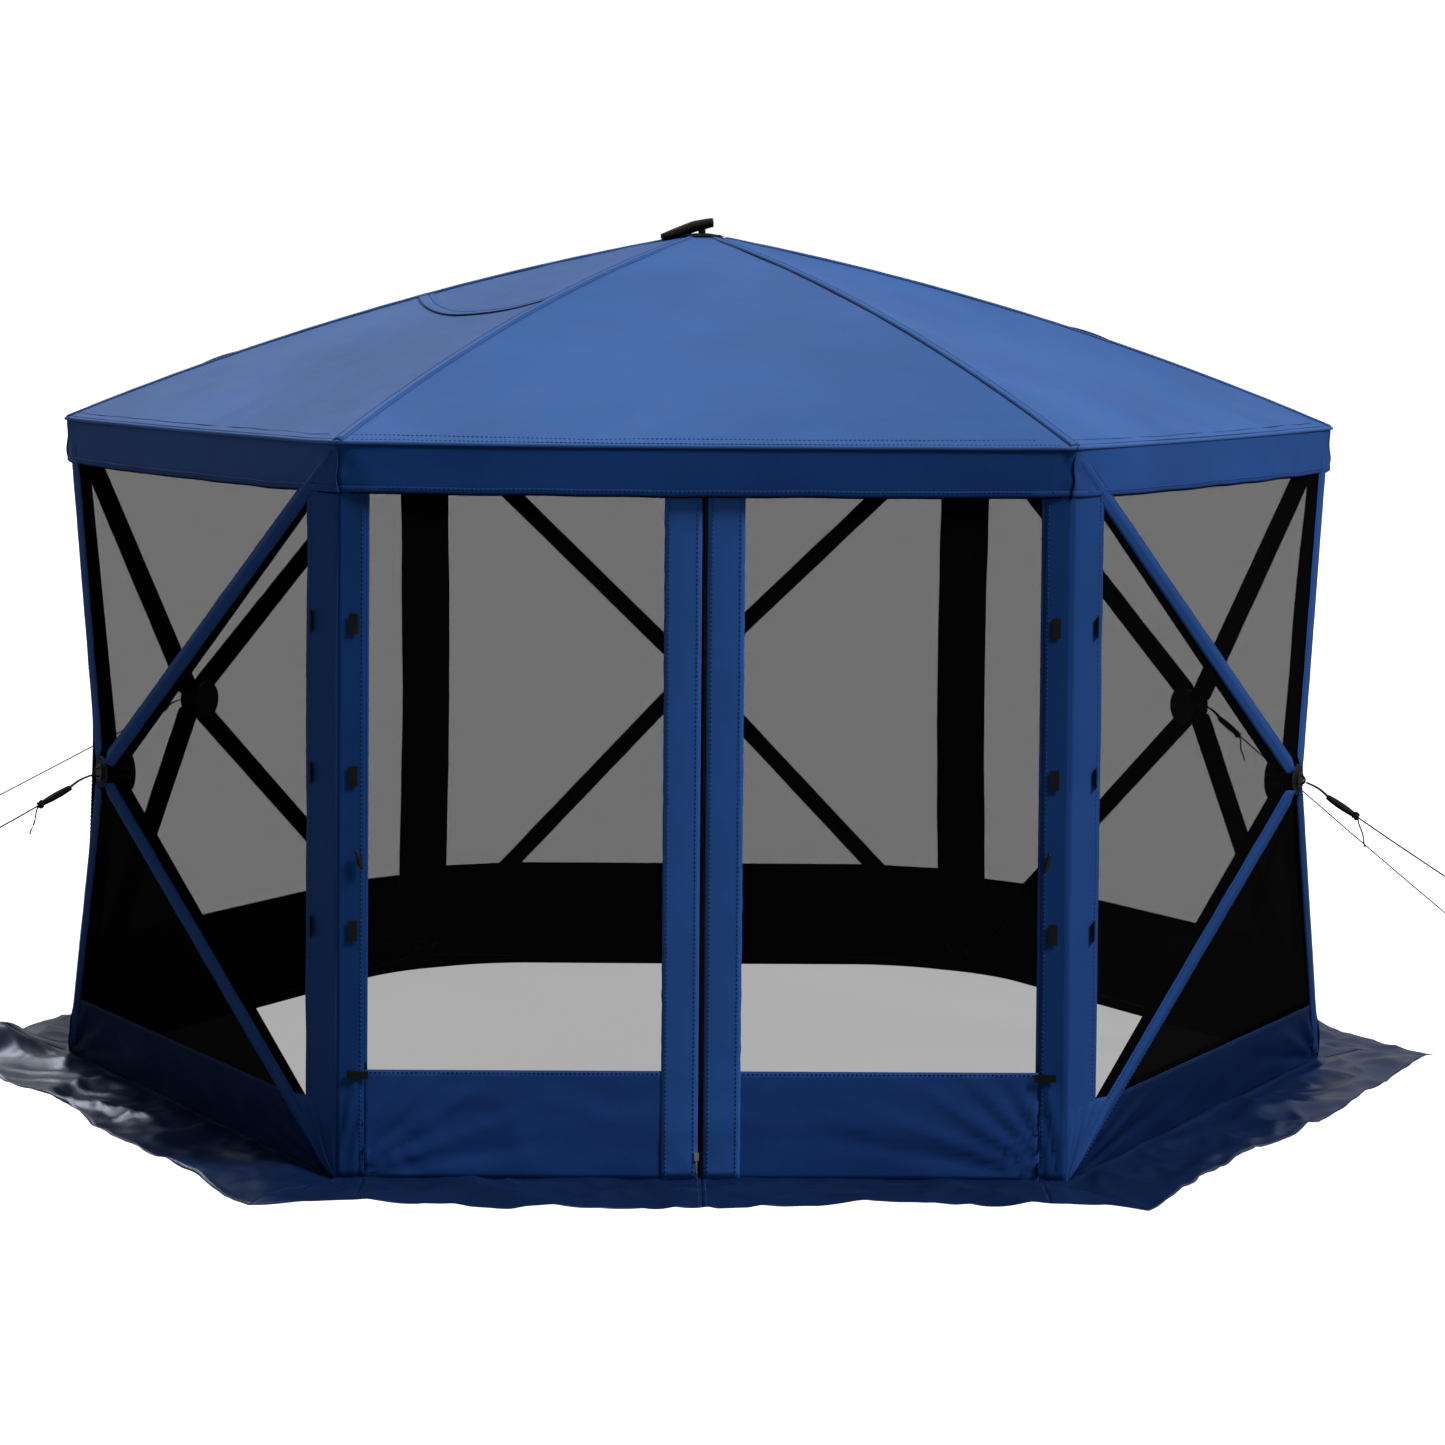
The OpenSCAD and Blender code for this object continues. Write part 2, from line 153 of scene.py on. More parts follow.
# -------- materials
class Nodes:
    """A short way to build one Principled material."""

    def __init__(self, name, colour, roughness, **sockets):
        self.material = bpy.data.materials.new(name)
        self.material.use_nodes = True
        self.tree = self.material.node_tree
        self.shader = self.tree.nodes["Principled BSDF"]
        self.coords = self.add("ShaderNodeTexCoord").outputs["Object"]
        self.shader.inputs["Base Color"].default_value = (*colour, 1)
        self.shader.inputs["Roughness"].default_value = roughness
        for key, value in sockets.items():
            self.shader.inputs[key.replace("_", " ")].default_value = value
        self.colour = colour
        self.bump = None

    def add(self, kind, **values):
        node = self.tree.nodes.new(kind)
        for key, value in values.items():
            if hasattr(node, key):
                setattr(node, key, value)
            else:
                node.inputs[key.replace("_", " ")].default_value = value
        return node

    def link(self, a, b):
        self.tree.links.new(a, b)

    def noise(self, scale, detail=4.0, stretch=(1, 1, 1), rough=0.55):
        mapping = self.add("ShaderNodeMapping", Scale=stretch)
        self.link(self.coords, mapping.inputs["Vector"])
        texture = self.add("ShaderNodeTexNoise", Scale=scale, Detail=detail, Roughness=rough)
        self.link(mapping.outputs[0], texture.inputs["Vector"])
        return texture.outputs["Fac"]

    def wave(self, scale, direction):
        texture = self.add("ShaderNodeTexWave", wave_type="BANDS", bands_direction=direction, Scale=scale)
        self.link(self.coords, texture.inputs["Vector"])
        return texture.outputs["Fac"]

    def mix_values(self, a, b, operation="ADD"):
        node = self.add("ShaderNodeMath", operation=operation)
        self.link(a, node.inputs[0])
        self.link(b, node.inputs[1])
        return node.outputs[0]

    def vary_colour(self, value, low, high):
        """Base colour from low to high shares of the material's colour, by a 0 to 1 value."""
        ramp = self.add("ShaderNodeValToRGB")
        ramp.color_ramp.elements[0].position, ramp.color_ramp.elements[1].position = 0.3, 0.7
        ramp.color_ramp.elements[0].color = (*(min(1, c * low) for c in self.colour), 1)
        ramp.color_ramp.elements[1].color = (*(min(1, c * high) for c in self.colour), 1)
        self.link(value, ramp.inputs["Fac"])
        self.link(ramp.outputs["Color"], self.shader.inputs["Base Color"])

    def vary_roughness(self, value, low, high):
        spread = self.add("ShaderNodeMapRange", To_Min=low, To_Max=high)
        self.link(value, spread.inputs["Value"])
        self.link(spread.outputs[0], self.shader.inputs["Roughness"])

    def add_bump(self, value, strength, distance):
        node = self.add("ShaderNodeBump", Strength=strength, Distance=distance)
        self.link(value, node.inputs["Height"])
        if self.bump:
            self.link(self.bump, node.inputs["Normal"])
        self.bump = node.outputs["Normal"]
        self.link(self.bump, self.shader.inputs["Normal"])


THREAD_SCALE = 420       # of the weave's waves


def cloth_material(name, colour, roughness, specular, tint=(1, 1, 1)):
    """Plain-weave polyester: crossed threads, faint creases and a little unevenness of dye."""
    m = Nodes(name, colour, roughness, Specular_IOR_Level=specular, Specular_Tint=(*tint, 1))
    m.vary_colour(m.noise(2.3, 5), 0.90, 1.10)
    m.vary_roughness(m.noise(9, 3), roughness - 0.07, roughness + 0.07)
    threads = m.mix_values(m.wave(THREAD_SCALE, "DIAGONAL"), m.wave(THREAD_SCALE, "Z"), "MULTIPLY")
    m.add_bump(threads, 0.12, 0.0004)
    m.add_bump(m.noise(7, 6, rough=0.6), 0.35, 0.006)
    return m.material


def plastic_material(name, colour, roughness):
    m = Nodes(name, colour, roughness, Specular_IOR_Level=0.22)
    m.vary_colour(m.noise(18, 4), 0.8, 1.3)
    m.vary_roughness(m.noise(40, 4), roughness - 0.08, roughness + 0.1)
    m.add_bump(m.noise(260, 2), 0.15, 0.0005)
    return m.material


def webbing_material(name, colour):
    m = Nodes(name, colour, 0.66, Specular_IOR_Level=0.12)
    m.vary_colour(m.noise(30, 3), 0.75, 1.4)
    ribs = m.mix_values(m.wave(180, "X"), m.wave(180, "DIAGONAL"), "MULTIPLY")
    m.add_bump(ribs, 0.6, 0.0008)
    return m.material


def pole_material():
    m = Nodes("glass_fibre", (0.020, 0.021, 0.024), 0.34, Coat_Weight=0.25)
    m.vary_colour(m.noise(30, 4, (1, 1, 0.05)), 0.8, 1.4)
    m.add_bump(m.noise(400, 2, (1, 1, 0.05)), 0.1, 0.0003)
    return m.material


def netting_material(name, alpha):
    """Fine netting, as a see-through cloth. A line of sight crosses both of its faces."""
    m = Nodes(name, (0.0035, 0.0036, 0.0040), 0.85, Alpha=alpha, Specular_IOR_Level=0.0)
    m.vary_colour(m.mix_values(m.wave(300, "DIAGONAL"), m.wave(300, "Z"), "MULTIPLY"), 0.7, 1.5)
    return m.material


def metal_material():
    m = Nodes("nickel", (0.55, 0.56, 0.58), 0.28, Metallic=1.0)
    m.vary_roughness(m.noise(120, 4), 0.2, 0.42)
    m.add_bump(m.noise(300, 3), 0.1, 0.0003)
    return m.material


ROOF = cloth_material("roof_cloth", (0.035, 0.093, 0.266), 0.52, specular=0.05)
TRIM = cloth_material("trim_cloth", (0.012, 0.046, 0.170), 0.60, specular=0.04)
DOOR_TRIM = cloth_material("door_band_cloth", (0.018, 0.072, 0.255), 0.60, specular=0.04)
# A darker copy of the trim cloth for the front wall's bands and valance: painted shade, the same cloth made
# darker where it faces the front.
SHADED_FRONT_TRIM = cloth_material("front_trim_painted_shade", (0.006, 0.032, 0.130), 0.60, specular=0.04)
KICK = cloth_material("kick_cloth", (0.008, 0.037, 0.160), 0.55, specular=0.10)
# A darker copy of the kick cloth for the hub walls' kick panels: painted shade.
SHADED_KICK = cloth_material("kick_cloth_painted_shade", (0.0025, 0.012, 0.055), 0.55, specular=0.04)
SKIRT = cloth_material("skirt_cloth", (0.003, 0.011, 0.044), 0.33, specular=0.5, tint=(0.45, 0.62, 1.0))
LINING = cloth_material("black_lining", (0.0018, 0.0018, 0.0023), 0.85, specular=0.0)
NET = netting_material("netting", 0.445)
NET_DENSE = netting_material("netting_dense", 0.97)
WEBBING = webbing_material("webbing", (0.0035, 0.0035, 0.0042))
THREAD = webbing_material("thread", (0.014, 0.042, 0.145))
ROPE = webbing_material("rope", (0.010, 0.010, 0.012))
PLASTIC = plastic_material("black_nylon", (0.0045, 0.0045, 0.0055), 0.46)
POLE = pole_material()
METAL = metal_material()


# -------- shapes
def radius_at(z):
    return BASE_R + (EAVE_R - BASE_R) * z / EAVE_H


def apothem_at(z):
    return radius_at(z) * cos(pi / 6)


def half_at(z):
    return radius_at(z) / 2


def turn(angle, p):
    """A point of a frame whose X axis points at angle, in degrees, in the row frame."""
    a = radians(angle)
    return Vector((p[0] * cos(a) - p[1] * sin(a), p[0] * sin(a) + p[1] * cos(a), p[2]))


def wall_point(angle, n, u, z):
    return turn(angle, (apothem_at(z) + n, u, z))


def corner_edge(angle, side, z):
    """The corner's cloth at height z, bowed in where nothing props it."""
    name = CORNERS[round((angle + 30 * side) % 360 / 60) % 6]
    r = radius_at(z) - BOW[name] * sin(pi * min(1, max(0, z / EAVE_H)))
    return turn(angle + 30 * side, (r, 0, z))


def outward(angle):
    return turn(angle, (1, 0, 0))


def lerp(a, b, t):
    return a + (b - a) * t


def ripple(p, scale, seed=0.0):
    """Smooth noise from -1 to 1 at a point."""
    return noise.noise(Vector((p[0] * scale + seed, p[1] * scale - seed, p[2] * scale + 2 * seed)))


def crease(p, scale, seed=0.0):
    """Sharp folds: 1 on a crease and 0 away from it."""
    return max(0.0, 1 - 3.2 * abs(ripple(p, scale, seed)))


def grid_faces(rows, cols, loop=False, offset=0):
    last = cols if loop else cols - 1
    return [(offset + i * cols + j, offset + i * cols + (j + 1) % cols,
             offset + (i + 1) * cols + (j + 1) % cols, offset + (i + 1) * cols + j)
            for i in range(rows - 1) for j in range(last)]


def make_object(name, points, faces, materials, smooth=True):
    mesh = bpy.data.meshes.new(name)
    mesh.from_pydata([tuple(p) for p in points], [], faces)
    for m in materials:
        mesh.materials.append(m)
    mesh.polygons.foreach_set("use_smooth", [smooth] * len(mesh.polygons))
    obj = add_object(name, mesh)
    return obj


def fit_out(piece, body=None, stands_for=None):
    """Puts a piece on the body it rides on, and hides the frame's node it replaces."""
    if body:
        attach(piece, body)
    if stands_for:
        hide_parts(stands_for)
    return piece


UP = Vector((0, 0, 1))


class Cloth:
    """One piece of cloth, sewn from grids. Slot 0 is thread, 1 the outer cloth and 2 its lining."""

    def __init__(self, rows=None, out=None, slot=1):
        self.points, self.faces, self.slots = [], [], []
        if rows:
            self.add(rows, out, slot)

    def add(self, rows, out, slot=1):
        """A grid of points whose face looks along out, a direction or a function of the place."""
        cols = len(rows[0])
        faces = grid_faces(len(rows), cols, offset=len(self.points))
        self.points += [p for row in rows for p in row]
        facing = 0.0
        for f in faces[::max(1, len(faces) // 60)]:
            a, b, c, d = (self.points[k] for k in f)
            facing += (c - a).cross(d - b).dot(out((a + c) / 2) if callable(out) else out)
        if facing < 0:
            faces = [f[::-1] for f in faces]
        self.faces += faces
        self.slots += [slot] * len(faces)

    def stitch(self, line, out, pitch=0.011, length=0.0065, width=0.0018, lift=0.0011):
        """A row of short raised stitches along a line of points."""
        run = 0.0
        for a, b in zip(line, line[1:]):
            span = (b - a).length
            if span < 1e-6:
                continue
            d = (b - a) / span
            s = d.cross(out).normalized() * width / 2
            while run < span:
                p = a + d * run
                rows = [[p + d * length * t - s + out * h, p + d * length * t + s + out * h]
                        for t, h in ((-0.5, 0.0), (-0.2, lift), (0.2, lift), (0.5, 0.0))]
                self.add(rows, out, 0)
                run += pitch
            run -= span

    def make(self, name, outside, inside, thickness, body=None, stands_for=None):
        """The sewn cloth as one piece, with its lining and its thickness."""
        obj = make_object(name, self.points, self.faces, [THREAD, outside, inside])
        obj.data.polygons.foreach_set("material_index", self.slots)
        edit = bmesh.new()
        edit.from_mesh(obj.data)
        bmesh.ops.remove_doubles(edit, verts=edit.verts, dist=2e-5)
        edit.to_mesh(obj.data)
        edit.free()
        solid = obj.modifiers.new("thickness", "SOLIDIFY")
        solid.thickness, solid.offset, solid.material_offset = thickness, -1, 1
        return fit_out(obj, body, stands_for)


def weave(cols, tall, point):
    """Rows of points: point(u, v), with u along a row and v from row to row, each from 0 to 1."""
    return [[point(i / cols, j / tall) for i in range(cols + 1)] for j in range(tall + 1)]


def patch(ruling, cols, tall, shape):
    """A grid between two edges: ruling(u) gives the two ends of the line at u, and shape moves each point."""
    def point(u, v):
        p = lerp(*ruling(u), v)
        return p + shape(u, v, p)
    return weave(cols, tall, point)


def edging(line, out, profile):
    """A strip along a line of points, through a profile of (up, outward) steps."""
    return [[p + out * n + UP * z for p in line] for z, n in profile]


def tube(name, path, radii, material, body=None, stands_for=None, sides=12, flat=1.0, side_axis=None):
    """A capped tube round a path. flat squeezes it along side_axis."""
    rows = []
    for i, p in enumerate(path):
        d = (path[min(i + 1, len(path) - 1)] - path[max(i - 1, 0)]).normalized()
        reference = side_axis
        if reference is None:
            reference = UP if abs(d.z) < 0.9 else Vector((1, 0, 0))
        x = d.cross(reference).normalized()
        y = x.cross(d).normalized()
        r = radii[i] if isinstance(radii, (list, tuple)) else radii
        rows.append([p + r * (cos(2 * pi * k / sides) * x + flat * sin(2 * pi * k / sides) * y)
                     for k in range(sides)])
    points = [p for row in rows for p in row]
    faces = [f[::-1] for f in grid_faces(len(rows), sides, loop=True)]
    faces.append(tuple(range(sides)))
    faces.append(tuple(reversed(range(len(points) - sides, len(points)))))
    return fit_out(make_object(name, points, faces, [material]), body, stands_for)


CUBE_CORNERS = [(x, y, z) for z in (-1, 1) for x, y in ((-1, -1), (1, -1), (1, 1), (-1, 1))]
CUBE_FACES = [(0, 3, 2, 1), (4, 5, 6, 7), (0, 1, 5, 4), (1, 2, 6, 5), (2, 3, 7, 6), (3, 0, 4, 7)]


def blocks(name, places, material, body, bevel, stands_for=None):
    """Small bevelled blocks: each place is a centre and three half-length axes."""
    points, faces = [], []
    for centre, x, y, z in places:
        base = len(points)
        points += [centre + a * x + b * y + c * z for a, b, c in CUBE_CORNERS]
        faces += [tuple(base + k for k in f) for f in CUBE_FACES]
    obj = make_object(name, points, faces, [material], smooth=False)
    edit = bmesh.new()
    edit.from_mesh(obj.data)
    bmesh.ops.recalc_face_normals(edit, faces=edit.faces)
    edit.to_mesh(obj.data)
    edit.free()
    rounded = obj.modifiers.new("bevel", "BEVEL")
    rounded.width, rounded.segments = bevel, 2
    return fit_out(obj, body, stands_for)


def declare(piece, width, length, held="stretched", rests=(), share=1.0):
    return (piece, list(rests))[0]


# -------- guy ropes, made before the rest
def guy_point(wall, p):
    return turn(HUB_WALLS[wall], (apothem_at(HUB_H) + p[0], 0, p[1]))


def knot(name, centre, along, size, body):
    """An overhand knot, as one closed line wound round the rope."""
    side = along.cross(UP).normalized()
    up = side.cross(along)
    path = []
    for k in range(37):
        t = 2 * pi * k / 36
        r = size * (0.55 + 0.25 * cos(3 * t))
        path.append(centre + along * size * 0.55 * sin(3 * t) + r * (cos(2 * t) * side + sin(2 * t) * up))
    return tube(name, path, size * 0.42, ROPE, body, sides=8)


def make_rope(wall, route):
    curve = bpy.data.curves.new("rope_" + wall, "CURVE")
    curve.dimensions, curve.bevel_depth, curve.bevel_resolution = "3D", ROPE_D / 2, 3
    curve.use_fill_caps = True
    spline = curve.splines.new("POLY")
    spline.points.add(len(route) - 1)
    for point, p in zip(spline.points, route):
        point.co = (*p, 1)
    curve.materials.append(ROPE)
    rope = add_object("rope_" + wall, curve)
    return fit_out(rope, "hub_" + wall, "guy_rope_" + wall)


def make_guy(wall):
    """A guy rope with its end knot and eye, and the strap, tensioner and loose tail that hold it."""
    body = "hub_" + wall
    route = [guy_point(wall, p) for p in GUY_ROUTES[wall]]
    along = (route[-1] - route[-2]).normalized()
    rope = make_rope(wall, route)
    end = route[-1]
    side = along.cross(UP).normalized()
    turns = [2 * pi * k / 24 for k in range(25)]
    eye_path = [end + along * (0.010 + 0.024 * (1 - cos(t))) + side * 0.017 * sin(t) for t in turns]
    eye = tube("rope_eye_" + wall, eye_path, ROPE_D / 2, ROPE, body, sides=8)
    end_knot = knot("rope_knot_" + wall, end + along * 0.005, along, 0.008, body)

    start = guy_point(wall, STRAP_START)
    span = route[0] - start
    d = span.normalized()
    across = d.cross(UP).normalized()
    up = across.cross(d)
    steps = [k / 20 for k in range(21)]
    strap_path = [start + span * t + up * 0.005 * sin(7 * t) for t in steps]
    widths = [0.0095 * (1 - 0.45 * max(0, t - 0.5)) for t in steps]
    tube("strap_" + wall, strap_path, widths, WEBBING, body, "guy_strap_" + wall,
         flat=0.17, side_axis=up)
    pouch_path = [start + d * (span.length - 0.095 + 0.083 * t) for t in steps]
    pouch_r = [0.0135 * (0.4 + 0.6 * sin(pi * (0.1 + 0.8 * t)) ** 0.5) for t in steps]
    tube("tensioner_" + wall, pouch_path, pouch_r, WEBBING, body,
         sides=18, flat=0.66, side_axis=up)
    tie = knot("tensioner_knot_" + wall, route[0] - d * 0.006, d, 0.0095, body)
    tail_path = [route[0] + d * 0.0022 * k - UP * 0.0052 * k + across * 0.004 * sin(0.7 * k)
                 for k in range(13)]
    tube("rope_tail_" + wall, tail_path, ROPE_D / 2, ROPE, body, sides=8)


for wall in GUY_ROUTES:
    make_guy(wall)


# -------- hub walls
PLEATS, PLEAT_H = 5, 0.0085
# A hub wall's cloth is four triangular faces. Here are the edge's middle, as (along the wall, height), and
# the flat size of the face's net, which fills half of that rectangle.
FACES = {"top": ((0, EAVE_H), (1.75, 0.92)), "bottom": ((0, 0), (1.25, 0.69)),
         "left": ((-BASE_R / 2, HUB_H), (1.51, 0.92)), "right": ((BASE_R / 2, HUB_H), (1.51, 0.92))}
PEAK_OUT = HUB_HIGH[1] - HUB_TO_PEAK - apothem_at(HUB_H)


def wall_peak(wall):
    return wall_point(HUB_WALLS[wall], PEAK_OUT, 0, HUB_H)


def face_blend(piece, face):
    u, z = FACES[face][0]
    a = apothem_at(HUB_H)
    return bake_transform(piece)


def rim(wall, side, top):
    """A wall's edge corner, at the eave or the ground, that a pole's sleeve starts from."""
    return corner_edge(HUB_WALLS[wall], side, EAVE_H - CLOTH_EDGE if top else CLOTH_EDGE)


def kick_corner(wall, side):
    """Where the kick panel's top edge meets a lower sleeve."""
    base, peak = rim(wall, side, False), wall_peak(wall)
    return lerp(base, peak, (HUB_KICK_H[wall] - base.z) / (peak.z - base.z))


def make_net(wall, face):
    """Taut netting, a little hollow between its props."""
    angle, peak = HUB_WALLS[wall], wall_peak(wall)
    out = outward(angle)
    if face in ("top", "bottom"):
        a, b = (rim(wall, s, True) if face == "top" else kick_corner(wall, s) for s in (-1, 1))
        ruling = lambda u: (lerp(a, b, u), peak)
    else:
        side = -1 if face == "left" else 1
        low, kick_h = kick_corner(wall, side), HUB_KICK_H[wall]
        ruling = lambda u: (corner_edge(angle, side, lerp(kick_h, EAVE_H - CLOTH_EDGE, u)),
                            lerp(low, peak, u))
    rows = patch(ruling, 26, 26, lambda u, v, p: -out * NET_HOLLOW * 4 * u * (1 - u) * sin(pi * v))
    net = Cloth(rows, out)
    material = NET_DENSE if face == "bottom" and wall.startswith("front") else NET
    piece = net.make(f"net_{face}_{wall}", material, material, 0.0005,
                     stands_for="wall_panel_" + wall)
    declare(piece, *FACES[face][1], rests=["wall_hub_" + wall], share=0.5)
    face_blend(piece, face)


def fan(p, centre, size, count, height):
    """Tension folds that run out from a pinned corner."""
    d = p - centre
    flat = Vector((d.x, d.y, 0)).length
    if d.length < 1e-4:
        return 0.0
    lean = atan2(d.z, flat)
    fade = max(0.0, 1 - d.length / size)
    return height * fade * min(1, d.length / 0.06) * (sin(lean * count) + 0.5 * sin(lean * count * 2.3 + 1))


def kick_folds(p, corners, seed, pull=0.0062):
    """Depth of the kick panels' folds: pulled at the corners and loose along the ground."""
    d = sum(fan(p, c, 0.62, 24, pull) for c in corners)
    d += 0.0035 * ripple((p.x, p.y, p.z * 2.5), 5, seed)
    return d + 0.0030 * crease((p.x, p.y, p.z * 1.6), 4.5, seed) * min(1, p.z / 0.05)


def pleats(up, across):
    """Narrow pleats that run up from a corner's foot, where the sleeve gathers the cloth."""
    ridge = abs(sin(pi * PLEATS * across)) ** 0.7
    return PLEAT_H * ridge * sin(pi * up) ** 0.6 * sin(pi * across) ** 0.3


def make_kick(wall):
    """The solid cloth under the netting, between the two lower sleeves."""
    out, seed = outward(HUB_WALLS[wall]), HUB_WALLS[wall] / 30
    feet = [rim(wall, s, False) for s in (-1, 1)]
    ends = [kick_corner(wall, s) for s in (-1, 1)]
    rows = patch(lambda u: (lerp(*feet, u), lerp(*ends, u)), 90, 16,
                 lambda u, v, p: out * (kick_folds(p, feet, seed) * (1 - v ** 4) + 0.0016))
    kick = Cloth(rows, out)
    kick.stitch([p + out * 0.0004 for p in rows[-1][::4]], out)
    # The hub walls' kick panels take the darker copy of the kick cloth, which is painted shade.
    piece = kick.make("kick_" + wall, SHADED_KICK, LINING, 0.0016)
    declare(piece, WALL_CLOTH_W, HUB_KICK_H[wall], share=0.85)
    face_blend(piece, "bottom")


def make_band(wall, side):
    """The reinforced cloth beside a corner, and the kick panel's end below it."""
    angle, peak = HUB_WALLS[wall], wall_peak(wall)
    corner = angle + 30 * side
    out, seed = outward(angle), angle / 30 + side
    band_w = BACK_BAND_W if corner % 360 in (60, 120) else BAND_W

    def beside_corner(u, v):
        z = lerp(CLOTH_EDGE, EAVE_H - CLOTH_EDGE, v)
        edge, foot = corner_edge(angle, side, z), rim(wall, side, z > HUB_H)
        flat = lerp(foot, peak, (z - foot.z) / (peak.z - foot.z)) - edge
        width = band_w * (1 + 0.02 * ripple((0, 0, z), 7, seed))
        p = edge + flat * min(1.0, width / max(flat.length, 1e-6)) * u
        lift = 0.0030 + 0.0010 * sin(pi * u) + 0.0022 * ripple(p, 5, seed)
        return p + (out * lift if u else outward(corner) * CORNER_LIFT)

    def kick_shape(u, v, p):
        return out * (kick_folds(p, feet, angle / 30) * v * (1 - u ** 4) + pleats(u, v) + 0.0014)

    band = Cloth()
    rows = weave(8, 64, beside_corner)
    band.add(rows, out)
    band.stitch([row[7] + out * 0.0004 for row in rows[3:-3]], out)
    feet = [rim(wall, s, False) for s in (-1, 1)]
    foot, low = rim(wall, side, False), kick_corner(wall, side)
    kick_top = corner_edge(angle, side, HUB_KICK_H[wall])
    band.add(patch(lambda u: (lerp(foot, kick_top, u), lerp(foot, low, u)), 18, 48, kick_shape), out)
    piece = band.make(f"band_{SIDES[side]}_{wall}", TRIM, LINING, 0.0015,
                      stands_for="corner_bands")
    declare(piece, band_w, EAVE_H, share=0.99)
    face_blend(piece, SIDES[side])


def pole_ends(wall, side, top):
    """The ball at a wall pole's corner end, and its hub's centre."""
    angle = HUB_WALLS[wall]
    z = PIVOT_TOP if top else PIVOT_LOW
    ball = turn(angle, (apothem_at(z) - PIVOT_DEPTH, side * (half_at(z) - PIVOT_IN), z))
    return ball, wall_point(angle, PEAK_OUT - HUB_DEPTH, 0, HUB_H)


def make_rod(wall, side, top):
    ball, centre = pole_ends(wall, side, top)
    tip = centre - (centre - ball).normalized() * HUB_TIP
    steps = 40
    path = [lerp(ball, tip, k / steps) for k in range(steps + 1)]
    radii = [BALL_R] + [POLE_R] * (steps - 3) + [FERRULE_R] * 3
    name = f"{wall}_{'upper' if top else 'lower'}_{SIDES[side]}"
    rod = tube("rod_" + name, path, radii, POLE, stands_for="wall_pole_" + name)
    face_blend(rod, "top" if top else "bottom")


# A sleeve's outer strip across, as (share of its half width, height above the ridge).
STRIP_PROFILE = ((0, 0.0062), (0.22, 0.0058), (0.5, 0.0046), (0.8, 0.0034), (1, 0.0026), (0.99, 0.0004))
SLEEVE_STEPS = 56


def add_sleeve(cloth, wall, side, top, face):
    """One face's half of the pocket that holds a pole: a strip outside, and a black pouch inside."""
    angle = HUB_WALLS[wall]
    out = outward(angle)
    edge, peak = rim(wall, side, top), wall_peak(wall)
    ball, centre = pole_ends(wall, side, top)
    ridge = (peak - edge).normalized()
    toward = (rim(wall, -side, top) if face in ("top", "bottom") else rim(wall, side, not top)) - edge
    into = (toward - toward.dot(ridge) * ridge).normalized()
    strip, pouch = [], []
    for k in range(SLEEVE_STEPS + 1):
        t = lerp(SLEEVE_START, SLEEVE_END, k / SLEEVE_STEPS)
        on_ridge, on_pole = lerp(edge, peak, t), lerp(ball, centre, t)
        from_end = min(t - SLEEVE_START, SLEEVE_END - t) / 0.030
        w = SLEEVE_W / 2 * min(1, sqrt(max(0, 1 - (1 - min(1, from_end)) ** 2)) + 0.05)
        w *= 1 + 0.035 * ripple(on_ridge, 9, side + top)
        wave = 0.0012 * ripple(on_ridge, 14, angle)
        strip.append([on_ridge + into * w * s + out * (h + wave * s) for s, h in STRIP_PROFILE])
        depth = on_pole - out * 0.0085
        pouch.append([on_ridge + into * w * 0.98 - out * 0.0022,
                      lerp(on_ridge, depth, 0.25) + into * w * 0.72,
                      lerp(on_ridge, depth, 0.7) + into * 0.012,
                      depth + into * 0.007, depth - out * 0.0015])
    cloth.add(strip, out)
    cloth.add(pouch, lambda p: into - out, 2)
    cloth.stitch([row[3] + out * 0.0006 for row in strip[3:-2]], out)


def make_sleeves(wall, face):
    cloth = Cloth()
    if face in ("top", "bottom"):
        arms = [(side, face == "top") for side in (-1, 1)]
    else:
        arms = [(-1 if face == "left" else 1, top) for top in (True, False)]
    for side, top in arms:
        add_sleeve(cloth, wall, side, top, face)
    piece = cloth.make(f"sleeves_{face}_{wall}", TRIM, LINING, 0.0011)
    declare(piece, 0.080, 2.42)
    face_blend(piece, face)


PATCH_INNER, PATCH_OUTER = 0.015, 0.041


def make_hub_patch(wall):
    """The round reinforcement that the hub is bolted through."""
    angle = HUB_WALLS[wall]
    out = outward(angle)
    fall = PEAK_OUT / HUB_H

    def point(t, v):
        r = lerp(PATCH_INNER, PATCH_OUTER, v)
        u, z = r * cos(2 * pi * t), r * sin(2 * pi * t)
        depth = fall * sqrt(sqrt(u ** 4 + z ** 4)) * 1.02
        return turn(angle, (apothem_at(HUB_H) + PEAK_OUT + 0.0052 - depth, u, HUB_H + z))

    rows = weave(48, 8, point)
    cloth = Cloth(rows, out)
    cloth.stitch([p + out * 0.0004 for p in rows[-2]], out)
    piece = cloth.make("hub_patch_" + wall, WEBBING, LINING, 0.0016, "hub_" + wall)
    declare(piece, 2 * PATCH_OUTER, 2 * PATCH_OUTER, share=0.75)


for wall in HUB_WALLS:
    for face in FACES:
        make_net(wall, face)
        make_sleeves(wall, face)
    make_kick(wall)
    for side in (-1, 1):
        make_band(wall, side)
        make_rod(wall, side, True)
        make_rod(wall, side, False)
    make_hub_patch(wall)


# -------- roof
TIP_H = PEAK_H - 0.064       # height of the roof poles' upper ends


def roof_h(r):
    t = 1 - r / CANOPY_R
    return EAVE_H + (PEAK_H - EAVE_H) * ((1 + ROOF_ARCH) * t - ROOF_ARCH * t * t)


def roof_blend(piece):
    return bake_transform(piece)


